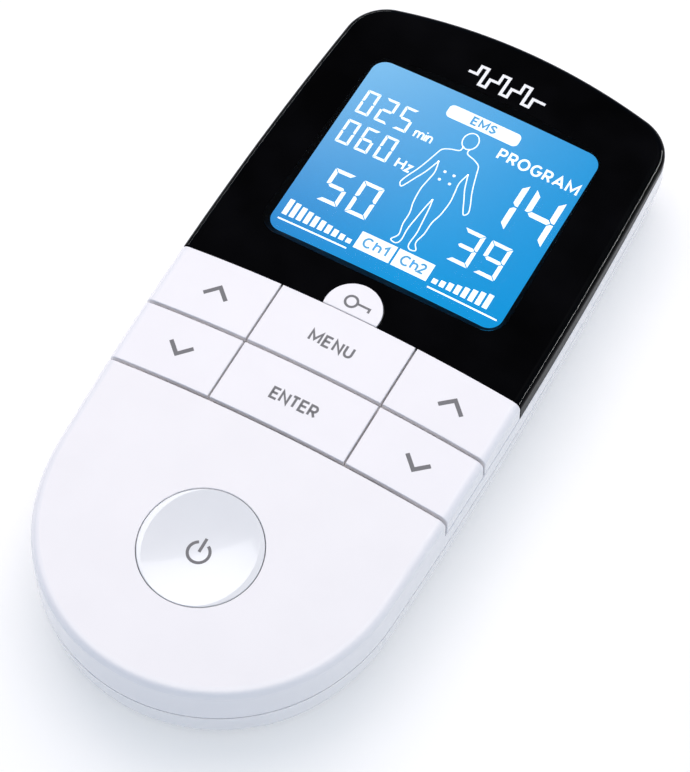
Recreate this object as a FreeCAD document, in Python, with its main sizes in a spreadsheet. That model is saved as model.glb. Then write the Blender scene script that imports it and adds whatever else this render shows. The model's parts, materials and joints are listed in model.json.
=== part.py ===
import FreeCAD, Part
import math
import os
import re

import Sketcher
from FreeCAD import Placement, Rotation, Vector

# A two-channel nerve and muscle stimulator that lies on its back: +Z is up, +Y points to the display
# end, and the origin is the middle of the back face. All sizes are millimetres, all angles degrees.

DIMENSIONS = (
    # How far a cutting tool runs past what it cuts, and the air between pieces that rest on each other.
    ("margin", 1.0),
    ("rest_gap", 0.05),
    # The body's outline at its widest, the parting line between the two housings.
    ("body_width", 63.0),
    ("body_length", 133.8),
    ("body_height", 21.0),
    ("parting_height", 9.7),
    ("shoulder_height", 13.5),
    ("side_bow_radius", 940.0),
    ("side_bow_middle", 10.2),
    ("display_end_radius", 145.0),
    ("display_corner_radius", 7.5),
    ("flank_radius", 35.0),
    ("round_end_radius", 29.9),
    ("front_draft", 0.6),
    ("back_draft", 7.0),
    ("front_edge_radius", 1.7),
    ("inner_edge_radius", 1.0),
    ("back_edge_radius", 5.0),
    ("parting_gap", 0.18),
    ("lip_height", 1.0),
    ("lip_fit", 0.05),
    ("edge_softness", 0.15),
    ("crown_across_radius", 172.0),
    ("crown_along_radius", 820.0),
    # Walls of the mouldings.
    ("wall", 1.8),
    ("floor_thickness", 2.0),
    ("cover_thickness", 1.5),
    ("key_thickness", 1.2),
    ("key_clearance", 0.55),
    ("seat_wall", 1.4),
    ("deck_thickness", 1.0),
    ("deck_top", 17.1),
    # Keys.
    ("cover_edge", 4.37),
    ("key_pitch", 12.07),
    ("column_half", 12.4),
    ("row_gap", 0.6),
    ("column_gap", 0.35),
    ("cover_gap", 0.16),
    ("key_travel", 0.3),
    ("travel_spare", 0.02),
    ("key_side_gap", 0.35),
    ("key_column", 21.0),
    ("stem_radius", 2.0),
    ("stem_clearance", 0.3),
    ("rib_width", 1.4),
    ("lock_centre", 5.4),
    ("lock_radius", 5.0),
    ("lock_well_gap", 0.4),
    ("lock_stem", 7.2),
    ("power_centre", -43.07),
    ("power_radius", 10.05),
    ("power_gap", 0.13),
    ("power_flange", 1.3),
    ("power_flange_bottom", 16.9),
    ("power_dish", 0.75),
    ("power_rim", 0.35),
    # Display.
    ("window_width", 42.9),
    ("window_length", 39.1),
    ("window_middle", 33.73),
    ("window_corner", 2.6),
    ("window_bottom", 17.3),
    ("window_bevel", 2.2),
    ("pane_gap", 0.04),
    ("glass_width", 45.0),
    ("glass_length", 41.5),
    ("glass_top", 17.2),
    ("glass_thickness", 1.1),
    ("frame_width", 48.0),
    ("frame_length", 45.0),
    ("frame_top", 16.3),
    ("frame_fit", 0.2),
    ("frame_lip", 0.8),
    ("glass_fit", 0.15),
    ("film_thickness", 0.1),
    ("film_gap", 0.02),
    ("guide_thickness", 0.8),
    ("guide_border", 2.4),
    ("light_width", 2.4),
    ("light_depth", 1.0),
    ("light_gap", 0.1),
    ("light_count", 4),
    ("strip_width", 1.2),
    ("strip_border", 2.0),
    # Board and keypad.
    ("board_top", 15.0),
    ("board_thickness", 1.2),
    ("board_width", 50.0),
    ("board_low", -30.0),
    ("board_high", 50.0),
    ("board_tail_width", 26.0),
    ("board_tail_low", -50.5),
    ("board_jack_width", 42.0),
    ("board_jack_high", 58.8),
    ("board_hole_across", 22.5),
    ("board_hole_high", 10.5),
    ("board_hole_low", -27.0),
    ("board_hole_radius", 1.1),
    ("mat_thickness", 0.8),
    ("mat_tongue_width", 12.0),
    ("mat_inset", 0.4),
    ("boss_height", 0.2),
    ("boss_rim", 0.2),
    ("dome_fit", 0.2),
    ("dome_radius", 2.5),
    ("dome_crown_radius", 1.0),
    ("dome_height", 0.4),
    ("dome_thickness", 0.1),
    # What the board carries underneath.
    ("chip_width", 10.0),
    ("chip_height", 1.4),
    ("chip_along", 26.0),
    ("core_across", 16.0),
    ("core_along", 36.0),
    ("core_width", 14.0),
    ("core_depth", 5.0),
    ("core_height", 10.0),
    ("core_gap", 0.5),
    ("core_yoke", 0.9),
    ("core_hole_width", 3.2),
    ("core_hole_across", 4.3),
    ("winding_width", 11.0),
    ("winding_depth", 10.5),
    ("winding_height", 8.0),
    ("winding_bore_width", 5.6),
    ("winding_bore_depth", 5.2),
    ("can_radius", 3.1),
    ("can_height", 9.0),
    ("can_across", 21.0),
    ("can_along", 46.0),
    ("buzzer_radius", 6.0),
    ("buzzer_height", 4.5),
    ("buzzer_along", 42.0),
    ("buzzer_port_radius", 1.0),
    ("buzzer_port_depth", 1.1),
    ("crystal_width", 8.0),
    ("crystal_depth", 3.4),
    ("crystal_height", 3.0),
    ("crystal_along", 17.0),
    ("transistor_width", 4.5),
    ("transistor_depth", 6.0),
    ("transistor_height", 2.2),
    ("transistor_along", 22.0),
    ("transistor_near", 12.0),
    ("transistor_far", 19.0),
    # Batteries and their compartment.
    ("cell_radius", 5.25),
    ("cell_length", 44.5),
    ("cell_nub_radius", 1.9),
    ("cell_nub_length", 0.8),
    ("cell_nub_bevel", 0.2),
    ("cell_collar", 0.9),
    ("cell_bevel", 0.3),
    ("cell_step", 0.2),
    ("cell_air", 0.15),
    ("cell_end_air", 0.3),
    ("cell_pitch", 11.2),
    ("bay_width", 35.0),
    ("bay_length", 50.0),
    ("bay_middle", -21.3),
    ("bay_wall", 1.8),
    ("bay_top", 12.6),
    ("bay_roof", 0.9),
    ("door_thickness", 1.6),
    ("door_overlap", 1.0),
    ("door_gap", 0.2),
    ("door_pin_radius", 0.5),
    ("door_pin_fit", 0.05),
    ("door_pin_height", 0.9),
    ("door_pin_length", 0.9),
    ("tongue_width", 8.0),
    ("tongue_gap", 0.3),
    ("tongue_thickness", 1.0),
    ("tongue_height", 1.6),
    ("groove_radius", 0.5),
    ("groove_length", 12.0),
    ("groove_pitch", 1.8),
    ("groove_border", 3.0),
    ("contact_thickness", 0.4),
    ("contact_width", 7.5),
    ("contact_reach", 3.2),
    ("leaf_width", 5.0),
    ("leaf_thickness", 0.3),
    ("leaf_tip_reach", 1.5),
    # Output jacks.
    ("jack_spacing", 24.0),
    ("jack_height", 6.0),
    ("jack_bore_radius", 1.3),
    ("jack_bore_length", 12.0),
    ("jack_nose_radius", 2.8),
    ("jack_width", 7.6),
    ("jack_fit", 0.1),
    ("jack_case_drop", 3.0),
    ("jack_slot_width", 1.6),
    ("jack_slot_height", 1.0),
    ("jack_slot_wall", 0.35),
    ("jack_slot_border", 1.2),
    ("jack_contact_width", 1.4),
    ("jack_contact_thickness", 0.3),
    ("jack_contact_air", 0.15),
    ("jack_mouth", 65.6),
    ("jack_front", 61.8),
    ("jack_back", 51.0),
    # Screws.
    ("screw_top_across", 24.3),
    ("screw_top_along", 59.9),
    ("screw_low_across", 17.0),
    ("screw_low_along", -52.4),
    ("screw_radius", 1.0),
    ("screw_head_radius", 1.9),
    ("screw_head_height", 1.4),
    ("screw_head_seat", 3.4),
    ("screw_end", 13.2),
    ("screw_boss_radius", 2.4),
    ("screw_fit", 0.2),
    ("screw_head_fit", 0.3),
    ("screw_slot_length", 2.4),
    ("screw_slot_width", 0.5),
    ("screw_slot_depth", 0.7),
    ("boss_relief", 0.2),
    ("pilot_spare", 0.3),
    ("well_wall", 0.9),
)

doc = FreeCAD.newDocument("stimulator")
sheet = doc.addObject("Spreadsheet::Sheet", "dims")
for row, (alias, value) in enumerate(DIMENSIONS, start=1):
    sheet.set(f"A{row}", alias)
    sheet.set(f"B{row}", str(value))
    sheet.setAlias(f"B{row}", alias)
doc.recompute()

ALIASES = {alias for alias, _ in DIMENSIONS}
SUBPARTS = []


def size(alias):
    """The value of one driving dimension."""
    return float(sheet.get(alias))


def bound(text):
    """An expression in which every driving dimension is read from the sheet."""
    return re.sub(r"[a-z_]+", lambda word: f"dims.{word[0]}" if word[0] in ALIASES else word[0], text)


def bind(thing, **expressions):
    """Ties properties to expressions; a double underscore stands for the dot in a property's path."""
    for path, text in expressions.items():
        thing.setExpression(path.replace("__", "."), bound(text))


def place(thing, x, y, z):
    """Ties an object's position to expressions."""
    bind(thing, Placement__Base__x=x, Placement__Base__y=y, Placement__Base__z=z)


def keep(thing, label):
    """Marks an object as a sub-part and names it."""
    thing.Label = label
    SUBPARTS.append(thing)
    return thing


# Building blocks of the parametric tree.

ALL_ACROSS = ("-body_width", "body_width")
ALL_ALONG = ("-body_length", "body_length")
PAST_FACE = "body_height + margin"

def block(name, x, y, z):
    """A box between pairs of low and high expressions."""
    box = doc.addObject("Part::Box", name)
    bind(box, Length=f"({x[1]}) - ({x[0]})", Width=f"({y[1]}) - ({y[0]})", Height=f"({z[1]}) - ({z[0]})")
    place(box, x[0], y[0], z[0])
    return box


def centred(width, middle="0"):
    """A low and a high expression about a middle."""
    return (f"({middle}) - ({width}) / 2", f"({middle}) + ({width}) / 2")


def middle_block(name, width, length, middle_y, z):
    """A box centred across the body."""
    return block(name, centred(width), centred(length, middle_y), z)


def rod(name, radius, x, y, z):
    """An upright cylinder at x, y between a low and a high z."""
    cylinder = doc.addObject("Part::Cylinder", name)
    bind(cylinder, Radius=radius, Height=f"({z[1]}) - ({z[0]})")
    place(cylinder, x, y, z[0])
    return cylinder


def rod_along_y(name, radius, x, y, z):
    """A cylinder along +Y between a low and a high y."""
    cylinder = doc.addObject("Part::Cylinder", name)
    cylinder.Placement = Placement(Vector(), Rotation(Vector(1, 0, 0), -90))
    bind(cylinder, Radius=radius, Height=f"({y[1]}) - ({y[0]})")
    place(cylinder, x, y[0], z)
    return cylinder


def rod_along_x(name, radius, x, y, z):
    """A cylinder along +X between a low and a high x."""
    cylinder = doc.addObject("Part::Cylinder", name)
    cylinder.Placement = Placement(Vector(), Rotation(Vector(0, 1, 0), 90))
    bind(cylinder, Radius=radius, Height=f"({x[1]}) - ({x[0]})")
    place(cylinder, x[0], y, z)
    return cylinder


def fused(name, *parts):
    """All the parts joined."""
    joined = doc.addObject("Part::MultiFuse", name)
    joined.Shapes = list(parts)
    return joined


def shared(name, *parts):
    """What all the parts have in common."""
    overlap = doc.addObject("Part::MultiCommon", name)
    overlap.Shapes = list(parts)
    return overlap


def cut(name, base, *tools):
    """The base with every tool taken away."""
    difference = doc.addObject("Part::Cut", name)
    difference.Base = base
    difference.Tool = tools[0] if len(tools) == 1 else fused(name + "_tools", *tools)
    return difference


def group(name, *parts):
    """Separate solids that share one sub-part."""
    compound = doc.addObject("Part::Compound", name)
    compound.Links = list(parts)
    return compound


def fixed_shape(name, shape):
    """An object for a shape that no feature of the tree can make."""
    thing = doc.addObject("Part::Feature", name)
    thing.Shape = shape
    return thing


TOUCHING = 0.001


def lies_on(face, skin):
    """Whether the middle of a face's surface is on the skin."""
    low_u, high_u, low_v, high_v = face.ParameterRange
    middle = face.valueAt((low_u + high_u) / 2, (low_v + high_v) / 2)
    return skin.distToShape(Part.Vertex(middle))[0] < TOUCHING


def softened(name, base):
    """The base with a small radius on every edge where its outer skin meets a cut side."""
    doc.recompute()
    skin = Part.Compound(outer_form.Shape.Faces)
    on_skin = [face for face in base.Shape.Faces if lies_on(face, skin)]
    radius = size("edge_softness")
    edges = []
    for number, edge in enumerate(base.Shape.Edges, start=1):
        neighbours = base.Shape.ancestorsOfType(edge, Part.Face)
        outer = [face for face in neighbours if any(face.isSame(other) for other in on_skin)]
        if len(neighbours) == 2 and len(outer) == 1:
            edges.append((number, radius, radius))
    rounded = doc.addObject("Part::Fillet", name)
    rounded.Base = base
    rounded.Edges = edges
    return rounded


# The outer form: an outline of tangent arcs, drafted walls and a crowned face. A parallel outline has the
# same arc centres and smaller radii, so every wall thickness comes from the same arcs.

# A crowned block reaches this share of the body's width and length to each side of the middle.
CROWN_REACH = 0.75


def meeting_point(first, first_radius, second, second_radius, upper):
    """The upper or lower crossing point of two circles."""
    gap = second - first
    along = (first_radius**2 - second_radius**2 + gap.Length**2) / (2 * gap.Length)
    across = math.sqrt(first_radius**2 - along**2)
    step = Vector(gap)
    step.normalize()
    normal = Vector(-step.y, step.x, 0)
    options = [first + step * along + normal * (across * sign) for sign in (-1, 1)]
    return max(options, key=lambda point: point.y if upper else -point.y)


def outline(inset, height):
    """The closed outline, drawn in from the widest one by inset, as a wire at a height."""
    half_width = size("body_width") / 2
    half_length = size("body_length") / 2
    side_radius = size("side_bow_radius")
    end_radius = size("display_end_radius")
    corner_radius = size("display_corner_radius")
    flank_radius = size("flank_radius")
    tip_radius = size("round_end_radius")
    side = Vector(half_width - side_radius, size("side_bow_middle"), 0)
    end = Vector(0, half_length - end_radius, 0)
    tip = Vector(0, tip_radius - half_length, 0)
    corner = meeting_point(side, side_radius - corner_radius, end, end_radius - corner_radius, True)
    flank = meeting_point(side, side_radius - flank_radius, tip, flank_radius - tip_radius, True)

    def beyond(big, small, radius):
        """Where two nested circles touch, moved in by the inset."""
        direction = small - big
        direction.normalize()
        return small + direction * (radius - inset)

    def arc(start, centre, finish):
        """The arc from start to finish about a centre, through the nearer side."""
        middle = (start + finish) * 0.5 - centre
        middle.normalize()
        middle = centre + middle * (start - centre).Length
        return Part.Arc(start, middle, finish).toShape()

    def mirrored(point):
        return Vector(-point.x, point.y, point.z)

    end_corner = beyond(end, corner, corner_radius)
    corner_side = beyond(side, corner, corner_radius)
    side_flank = beyond(side, flank, flank_radius)
    flank_tip = beyond(flank, tip, tip_radius)
    right = [
        (end_corner, corner, corner_side),
        (corner_side, side, side_flank),
        (side_flank, flank, flank_tip),
    ]
    edges = [arc(mirrored(end_corner), end, end_corner)]
    edges += [arc(*points) for points in right]
    edges += [arc(flank_tip, tip, mirrored(flank_tip))]
    edges += [arc(*(mirrored(point) for point in reversed(points))) for points in reversed(right)]
    wire = Part.Wire(edges)
    wire.translate(Vector(0, 0, height))
    return wire


def drafted(inset, low, high, draft, widest):
    """A solid with the outline, whose walls lean in by the draft with distance from the widest height."""
    slope = math.tan(math.radians(draft))
    wires = [outline(inset + slope * abs(height - widest), height) for height in (low, high)]
    return Part.makeLoft(wires, True, True)


def crowned(drop):
    """Everything under the crowned face, lowered by drop."""
    radius = size("crown_across_radius")
    top = size("body_height")
    reach = size("body_width") * CROWN_REACH
    bend = Vector(0, 0, top - radius)
    low = -size("body_height")

    def on_crown(x):
        return Vector(x, 0, bend.z + math.sqrt((radius - drop) ** 2 - x**2))

    face_arc = Part.Arc(on_crown(-reach), on_crown(0), on_crown(reach)).toShape()
    corners = [on_crown(reach), Vector(reach, 0, low), Vector(-reach, 0, low), on_crown(-reach)]
    section = Part.Face(Part.Wire([face_arc, *Part.makePolygon(corners).Edges]))
    pivot = Vector(0, 0, top - size("crown_along_radius"))
    sweep = math.degrees(size("body_length") * CROWN_REACH / size("crown_along_radius"))
    section.rotate(pivot, Vector(1, 0, 0), -sweep)
    return section.revolve(pivot, Vector(1, 0, 0), 2 * sweep)


def front_form(inset, drop, edge_radius):
    """The upper half's form: walls drawn in, face lowered, and the edge between them rounded."""
    parting = size("parting_height")
    high = size("body_height") + size("margin")
    walls = drafted(inset, parting, high, size("front_draft"), parting)
    form = walls.common(crowned(drop))
    face = max(form.Faces, key=lambda candidate: candidate.CenterOfMass.z)
    return form.makeFillet(edge_radius, face.Edges)


def inner_form(inset, drop):
    """The upper half's form a wall's thickness in."""
    return front_form(inset, drop, size("inner_edge_radius"))


def back_form(inset, floor, edge_radius):
    """The lower half's form, from its floor up to the parting line."""
    parting = size("parting_height")
    form = drafted(inset, floor, parting, size("back_draft"), parting)
    face = min(form.Faces, key=lambda candidate: candidate.CenterOfMass.z)
    return form.makeFillet(edge_radius, face.Edges)


def rounded_rectangle(width, length, middle_y, radius, height):
    """A wire of four lines and four corner arcs."""
    x, y = width / 2, length / 2
    plate = Part.makeBox(width, length, size("margin"), Vector(-x, middle_y - y, height))
    upright = [edge for edge in plate.Edges if abs(edge.tangentAt(edge.FirstParameter).z) > 0.5]
    return min(plate.makeFillet(radius, upright).Faces, key=lambda face: face.CenterOfMass.z).OuterWire


def window_plug(grow):
    """The pane's form: it widens upwards, so the black cover's lower rim frames the display."""
    low = size("window_bottom")
    slope = size("window_bevel") / (size("body_height") - low)
    wires = []
    for height in (low - size("margin"), size("body_height") + size("margin")):
        spread = grow + slope * (height - low)
        wires.append(
            rounded_rectangle(
                size("window_width") + 2 * spread,
                size("window_length") + 2 * spread,
                size("window_middle"),
                size("window_corner") + spread,
                height,
            )
        )
    return Part.makeLoft(wires, True, True)


outer_form = fixed_shape("outer_form", front_form(0, 0, size("front_edge_radius")))
# Lines along the body where the keys and the cover meet.
KEYS_TOP = "cover_edge"
KEYS_MIDDLE = "(cover_edge - key_pitch)"
KEYS_BOTTOM = "(cover_edge - 2 * key_pitch)"
DECK_END = "(window_middle - frame_length / 2 - 2 * frame_fit)"
FACE_WALL = f"({KEYS_BOTTOM} - wall)"

# Key name: column (-1 left, 0 middle, 1 right) and row (0 upper, 1 lower).
KEYS = {
    "left_up_key": (-1, 0),
    "left_down_key": (-1, 1),
    "menu_key": (0, 0),
    "enter_key": (0, 1),
    "right_up_key": (1, 0),
    "right_down_key": (1, 1),
}


def key_middle(row):
    """The line along the middle of a row of keys."""
    return f"(cover_edge - key_pitch * {row + 0.5})"


STEMS = {name: (f"key_column * {column}", key_middle(row)) for name, (column, row) in KEYS.items()}
STEMS["lock_key"] = ("0", "lock_stem")
STEMS["power_button"] = ("0", "power_centre")


def stem_holes():
    """One clearance hole through the deck for each key's stem."""
    radius = "stem_radius + stem_clearance"
    return [
        rod(f"{name}_hole", radius, x, y, ("board_top", "deck_top + margin"))
        for name, (x, y) in STEMS.items()
        if name != "power_button"
    ]


def screw_places():
    """The four screws: two beside the output jacks, two in the round end."""
    for side in (-1, 1):
        yield f"top_{side}", f"screw_top_across * {side}", "screw_top_along"
        yield f"low_{side}", f"screw_low_across * {side}", "screw_low_along"


def parting_ring(name, outer_inset, inner_inset, low, high):
    """A closed band that follows the outline between two insets and two heights."""
    parting = size("parting_height")
    outer = drafted(outer_inset, low, high, 0, parting)
    inner = drafted(inner_inset, low - size("margin"), high + size("margin"), 0, parting)
    return fixed_shape(name, outer.cut(inner))


def make_front_housing():
    """The upper shell: a full skin at the round end, a deck with ribs under the keys and the cover."""
    wall = size("wall")
    cover = size("cover_thickness")
    seat_wall = size("seat_wall")
    key_drop = size("key_thickness") + size("key_clearance")
    seat = fixed_shape("cover_seat", inner_form(cover, cover))
    key_seat = fixed_shape("key_seat", inner_form(key_drop, key_drop))
    skin_inside = fixed_shape("skin_inside", inner_form(wall, wall))
    cover_ceiling = cover + size("deck_thickness")
    cover_inside = fixed_shape("cover_inside", inner_form(cover + seat_wall, cover_ceiling))
    key_inside = fixed_shape("key_inside", inner_form(key_drop + seat_wall, key_drop + seat_wall))

    above_shoulder = ("shoulder_height", PAST_FACE)
    cover_zone = block("cover_zone", ALL_ACROSS, (KEYS_TOP, "body_length"), above_shoulder)
    key_zone = block("key_zone", ALL_ACROSS, (f"{KEYS_BOTTOM} - row_gap / 2", KEYS_TOP), above_shoulder)
    lock_zone = rod("lock_zone", "lock_radius + lock_well_gap", "0", "lock_centre", ("deck_top", PAST_FACE))
    cover_room = cut("cover_room", cover_zone, seat)

    deck_zone = block("deck_zone", ALL_ACROSS, ALL_ALONG, ("0", "deck_top"))
    full_height = ("0", "body_height")
    ribs = [
        block(f"row_rib_{number}", ALL_ACROSS, centred("rib_width", line), full_height)
        for number, line in enumerate((KEYS_MIDDLE, KEYS_TOP))
    ]
    ribs += [
        block(
            f"column_rib_{side}",
            centred("rib_width", f"column_half * {side}"),
            (KEYS_BOTTOM, KEYS_TOP),
            full_height,
        )
        for side in (-1, 1)
    ]
    key_floor = shared("key_floor", key_seat, fused("deck_and_ribs", deck_zone, *ribs))
    key_room = cut("key_room", key_zone, key_floor)

    belt_zone = block("belt_zone", ALL_ACROSS, ALL_ALONG, ("0", "shoulder_height - wall"))
    belt_room = shared("belt_room", skin_inside, belt_zone)
    face_zone = block("face_zone", ALL_ACROSS, ("-body_length", FACE_WALL), full_height)
    face_room = shared("face_room", skin_inside, face_zone)
    under_deck = block("under_deck", ALL_ACROSS, (FACE_WALL, DECK_END), ("0", "deck_top - deck_thickness"))
    deck_room = shared("deck_room", key_inside, under_deck)
    under_display = block("under_display", ALL_ACROSS, (DECK_END, "body_length"), full_height)
    display_room = shared("display_room", cover_inside, under_display)
    frame_hole = middle_block(
        "frame_hole",
        "frame_width + 2 * frame_fit",
        "frame_length + 2 * frame_fit",
        "window_middle",
        ("0", PAST_FACE),
    )
    power_hole = rod("power_hole", "power_radius + power_gap", "0", "power_centre", ("0", PAST_FACE))
    shell = cut(
        "front_shell",
        outer_form,
        cover_room,
        key_room,
        lock_zone,
        belt_room,
        face_room,
        deck_room,
        display_room,
        frame_hole,
        power_hole,
        *stem_holes(),
    )

    between_skins = (cover + wall) / 2
    boss_limit = fixed_shape("boss_limit", inner_form(between_skins, between_skins))
    boss_height = ("parting_height + boss_relief", "body_height")
    bosses = [
        rod(f"front_boss_{name}", "screw_boss_radius", x, y, boss_height) for name, x, y in screw_places()
    ]
    posts = shared("front_bosses", boss_limit, fused("front_posts", *bosses))
    pilots = [
        rod(f"pilot_{name}", "screw_radius", x, y, ("0", "screw_end + pilot_spare"))
        for name, x, y in screw_places()
    ]
    parting = size("parting_height")
    low = parting - size("margin")
    lip_top = parting + size("lip_height") + size("lip_fit") * 2
    rebate = parting_ring("rebate", wall / 2 - size("lip_fit"), wall + size("margin"), low, lip_top)
    shadow_line = parting_ring("shadow_line", -size("margin"), wall, low, parting + size("parting_gap"))
    moulding = cut("front_moulding", fused("front_blank", shell, posts), rebate, shadow_line, *pilots)
    keep(softened("front_housing", moulding), "front_housing")


# The battery bay's two ends, and the line that the door swings about.
BAY_LOW = "(bay_middle - bay_length / 2)"
BAY_HIGH = "(bay_middle + bay_length / 2)"
DOOR_AXIS = f"({BAY_HIGH} + door_overlap - door_thickness / 2)"


def make_back_housing():
    """The lower shell with the battery bay, its hinge sockets, the jack holes and the screw wells."""
    wall = size("wall")
    edge_radius = size("back_edge_radius")
    outside = fixed_shape("back_outside", back_form(0, 0, edge_radius))
    inside = fixed_shape("back_inside", back_form(wall, size("floor_thickness"), edge_radius - wall))
    bay = middle_block(
        "bay_block",
        "bay_width + 2 * bay_wall",
        "bay_length + 2 * bay_wall",
        "bay_middle",
        ("floor_thickness / 2", "bay_top + bay_roof"),
    )
    wells = [
        rod(
            f"well_{name}",
            "screw_boss_radius + well_wall",
            x,
            y,
            ("floor_thickness / 2", "parting_height"),
        )
        for name, x, y in screw_places()
    ]
    wells_inside = shared("wells_inside", outside, fused("wells", *wells))
    parting = size("parting_height")
    lip = parting_ring("lip", wall / 2, wall, parting - size("margin"), parting + size("lip_height"))
    solid = fused("back_moulding", cut("back_shell", outside, inside), lip, bay, wells_inside)
    room = middle_block("bay_room", "bay_width", "bay_length", "bay_middle", ("-margin", "bay_top"))
    door_spread = "2 * door_overlap + 2 * door_gap"
    door_room = middle_block(
        "door_room",
        f"bay_width + {door_spread}",
        f"bay_length + {door_spread}",
        "bay_middle",
        ("-margin", "door_thickness + door_gap / 2"),
    )
    sockets = rod_along_x(
        "door_sockets",
        "door_pin_radius + door_pin_fit",
        centred("bay_width + 2 * (door_overlap + door_pin_length + door_gap)"),
        DOOR_AXIS,
        "door_pin_height",
    )
    jack_holes = [
        rod_along_y(
            f"jack_hole_{side}",
            "jack_nose_radius + jack_fit",
            f"jack_spacing / 2 * {side}",
            ("jack_front - margin", "body_length"),
            "jack_height",
        )
        for side in (-1, 1)
    ]
    drills = []
    for name, x, y in screw_places():
        drill_radius = "screw_radius + screw_fit"
        head_radius = "screw_head_radius + screw_head_fit"
        drills.append(rod(f"drill_{name}", drill_radius, x, y, ("-margin", "body_height")))
        drills.append(rod(f"head_room_{name}", head_radius, x, y, ("-margin", "screw_head_seat")))
    keep(cut("back_housing", solid, room, door_room, sockets, *jack_holes, *drills), "back_housing")


def make_battery_door():
    """A flat door whose inner end is round about its two stub pins, with thumb grooves at the other end."""
    door_width = "bay_width + 2 * door_overlap"
    low_end = f"{BAY_LOW} - door_overlap"
    plate = block("door_plate", centred(door_width), (low_end, DOOR_AXIS), ("0", "door_thickness"))
    round_end = rod_along_x(
        "door_round_end", "door_thickness / 2 - rest_gap", centred(door_width), DOOR_AXIS, "door_pin_height"
    )
    pins = rod_along_x(
        "door_pins",
        "door_pin_radius",
        centred(f"{door_width} + 2 * door_pin_length"),
        DOOR_AXIS,
        "door_pin_height",
    )
    tongue = block(
        "door_tongue",
        centred("tongue_width"),
        (f"{BAY_LOW} + tongue_gap", f"{BAY_LOW} + tongue_gap + tongue_thickness"),
        ("door_thickness / 2", "door_thickness + tongue_height"),
    )
    grooves = [
        rod_along_x(
            f"thumb_groove_{number}",
            "groove_radius",
            centred("groove_length"),
            f"{low_end} + groove_border + groove_pitch * {number}",
            "0",
        )
        for number in range(3)
    ]
    keep(cut("battery_door", fused("door_blank", plate, round_end, pins, tongue), *grooves), "battery_door")


def make_cover_and_window():
    """The black cap over the display end, and the clear pane that fills its bevelled opening."""
    seat = doc.getObject("cover_seat")
    cover_along = ("cover_edge + cover_gap / 2", "body_length")
    zone = block("cover_slice", ALL_ACROSS, cover_along, ("shoulder_height", PAST_FACE))
    pocket_width = "glass_width + 2 * glass_fit"
    pocket_length = "glass_length + 2 * glass_fit"
    ceiling = "glass_top + rest_gap"
    pocket = (pocket_width, pocket_length, "window_middle")
    glass_pocket = middle_block("glass_pocket", *pocket, ("0", ceiling))
    rim = middle_block("window_rim", *pocket, (ceiling, PAST_FACE))
    frame_pocket = middle_block(
        "frame_pocket",
        "frame_width + 2 * frame_fit",
        "frame_length + 2 * frame_fit",
        "window_middle",
        ("0", "frame_top + 2 * rest_gap"),
    )
    lock_hole = rod("lock_hole", "lock_radius + cover_gap", "0", "lock_centre", ("0", PAST_FACE))
    opening = fixed_shape("window_opening", window_plug(0))
    skin = cut("cover_skin", shared("cover_blank", outer_form, zone), cut("cover_under", seat, rim))
    cap = cut("cover_cap", skin, glass_pocket, frame_pocket, lock_hole)
    keep(cut("display_cover", softened("cover_rounded", cap), opening), "display_cover")

    pane = fixed_shape("pane_blank", window_plug(-size("pane_gap")))
    slab = block("pane_zone", ALL_ACROSS, ALL_ALONG, ("window_bottom", PAST_FACE))
    keep(shared("display_window", outer_form, pane, slab), "display_window")


STEM_LOW = "board_top + mat_thickness + boss_height + key_travel + travel_spare"


def key_stem(name):
    """The post under a key, up to half way through the key's skin."""
    x, y = STEMS[name]
    post = rod(f"{name}_rod", "stem_radius", x, y, (STEM_LOW, "body_height"))
    return shared(f"{name}_stem", doc.getObject("stem_limit"), post)


def make_keys():
    """Six keys and the half-round lock key, all cut from the outer form, with their stems."""
    thickness = size("key_thickness")
    under = fixed_shape("key_under", inner_form(thickness, thickness))
    fixed_shape("stem_limit", inner_form(thickness / 2, thickness / 2))
    key_height = ("shoulder_height + key_side_gap", PAST_FACE)
    across = {
        -1: ("-body_width", "-column_half - column_gap / 2"),
        0: ("-column_half + column_gap / 2", "column_half - column_gap / 2"),
        1: ("column_half + column_gap / 2", "body_width"),
    }
    along = {
        0: (f"{KEYS_MIDDLE} + row_gap / 2", "cover_edge - cover_gap / 2"),
        1: (f"{KEYS_BOTTOM} + row_gap / 2", f"{KEYS_MIDDLE} - row_gap / 2"),
    }
    for name, (column, row) in KEYS.items():
        zone = block(f"{name}_zone", across[column], along[row], key_height)
        rounded = softened(f"{name}_rounded", shared(f"{name}_blank", outer_form, zone))
        keep(fused(name, cut(f"{name}_cap", rounded, under), key_stem(name)), name)

    disc = rod("lock_disc", "lock_radius", "0", "lock_centre", key_height)
    lock_zone = block("lock_slice", ALL_ACROSS, ("cover_edge + cover_gap / 2", "body_length"), key_height)
    rounded = softened("lock_rounded", shared("lock_blank", outer_form, disc, lock_zone))
    keep(fused("lock_key", cut("lock_cap", rounded, under), key_stem("lock_key")), "lock_key")


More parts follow.
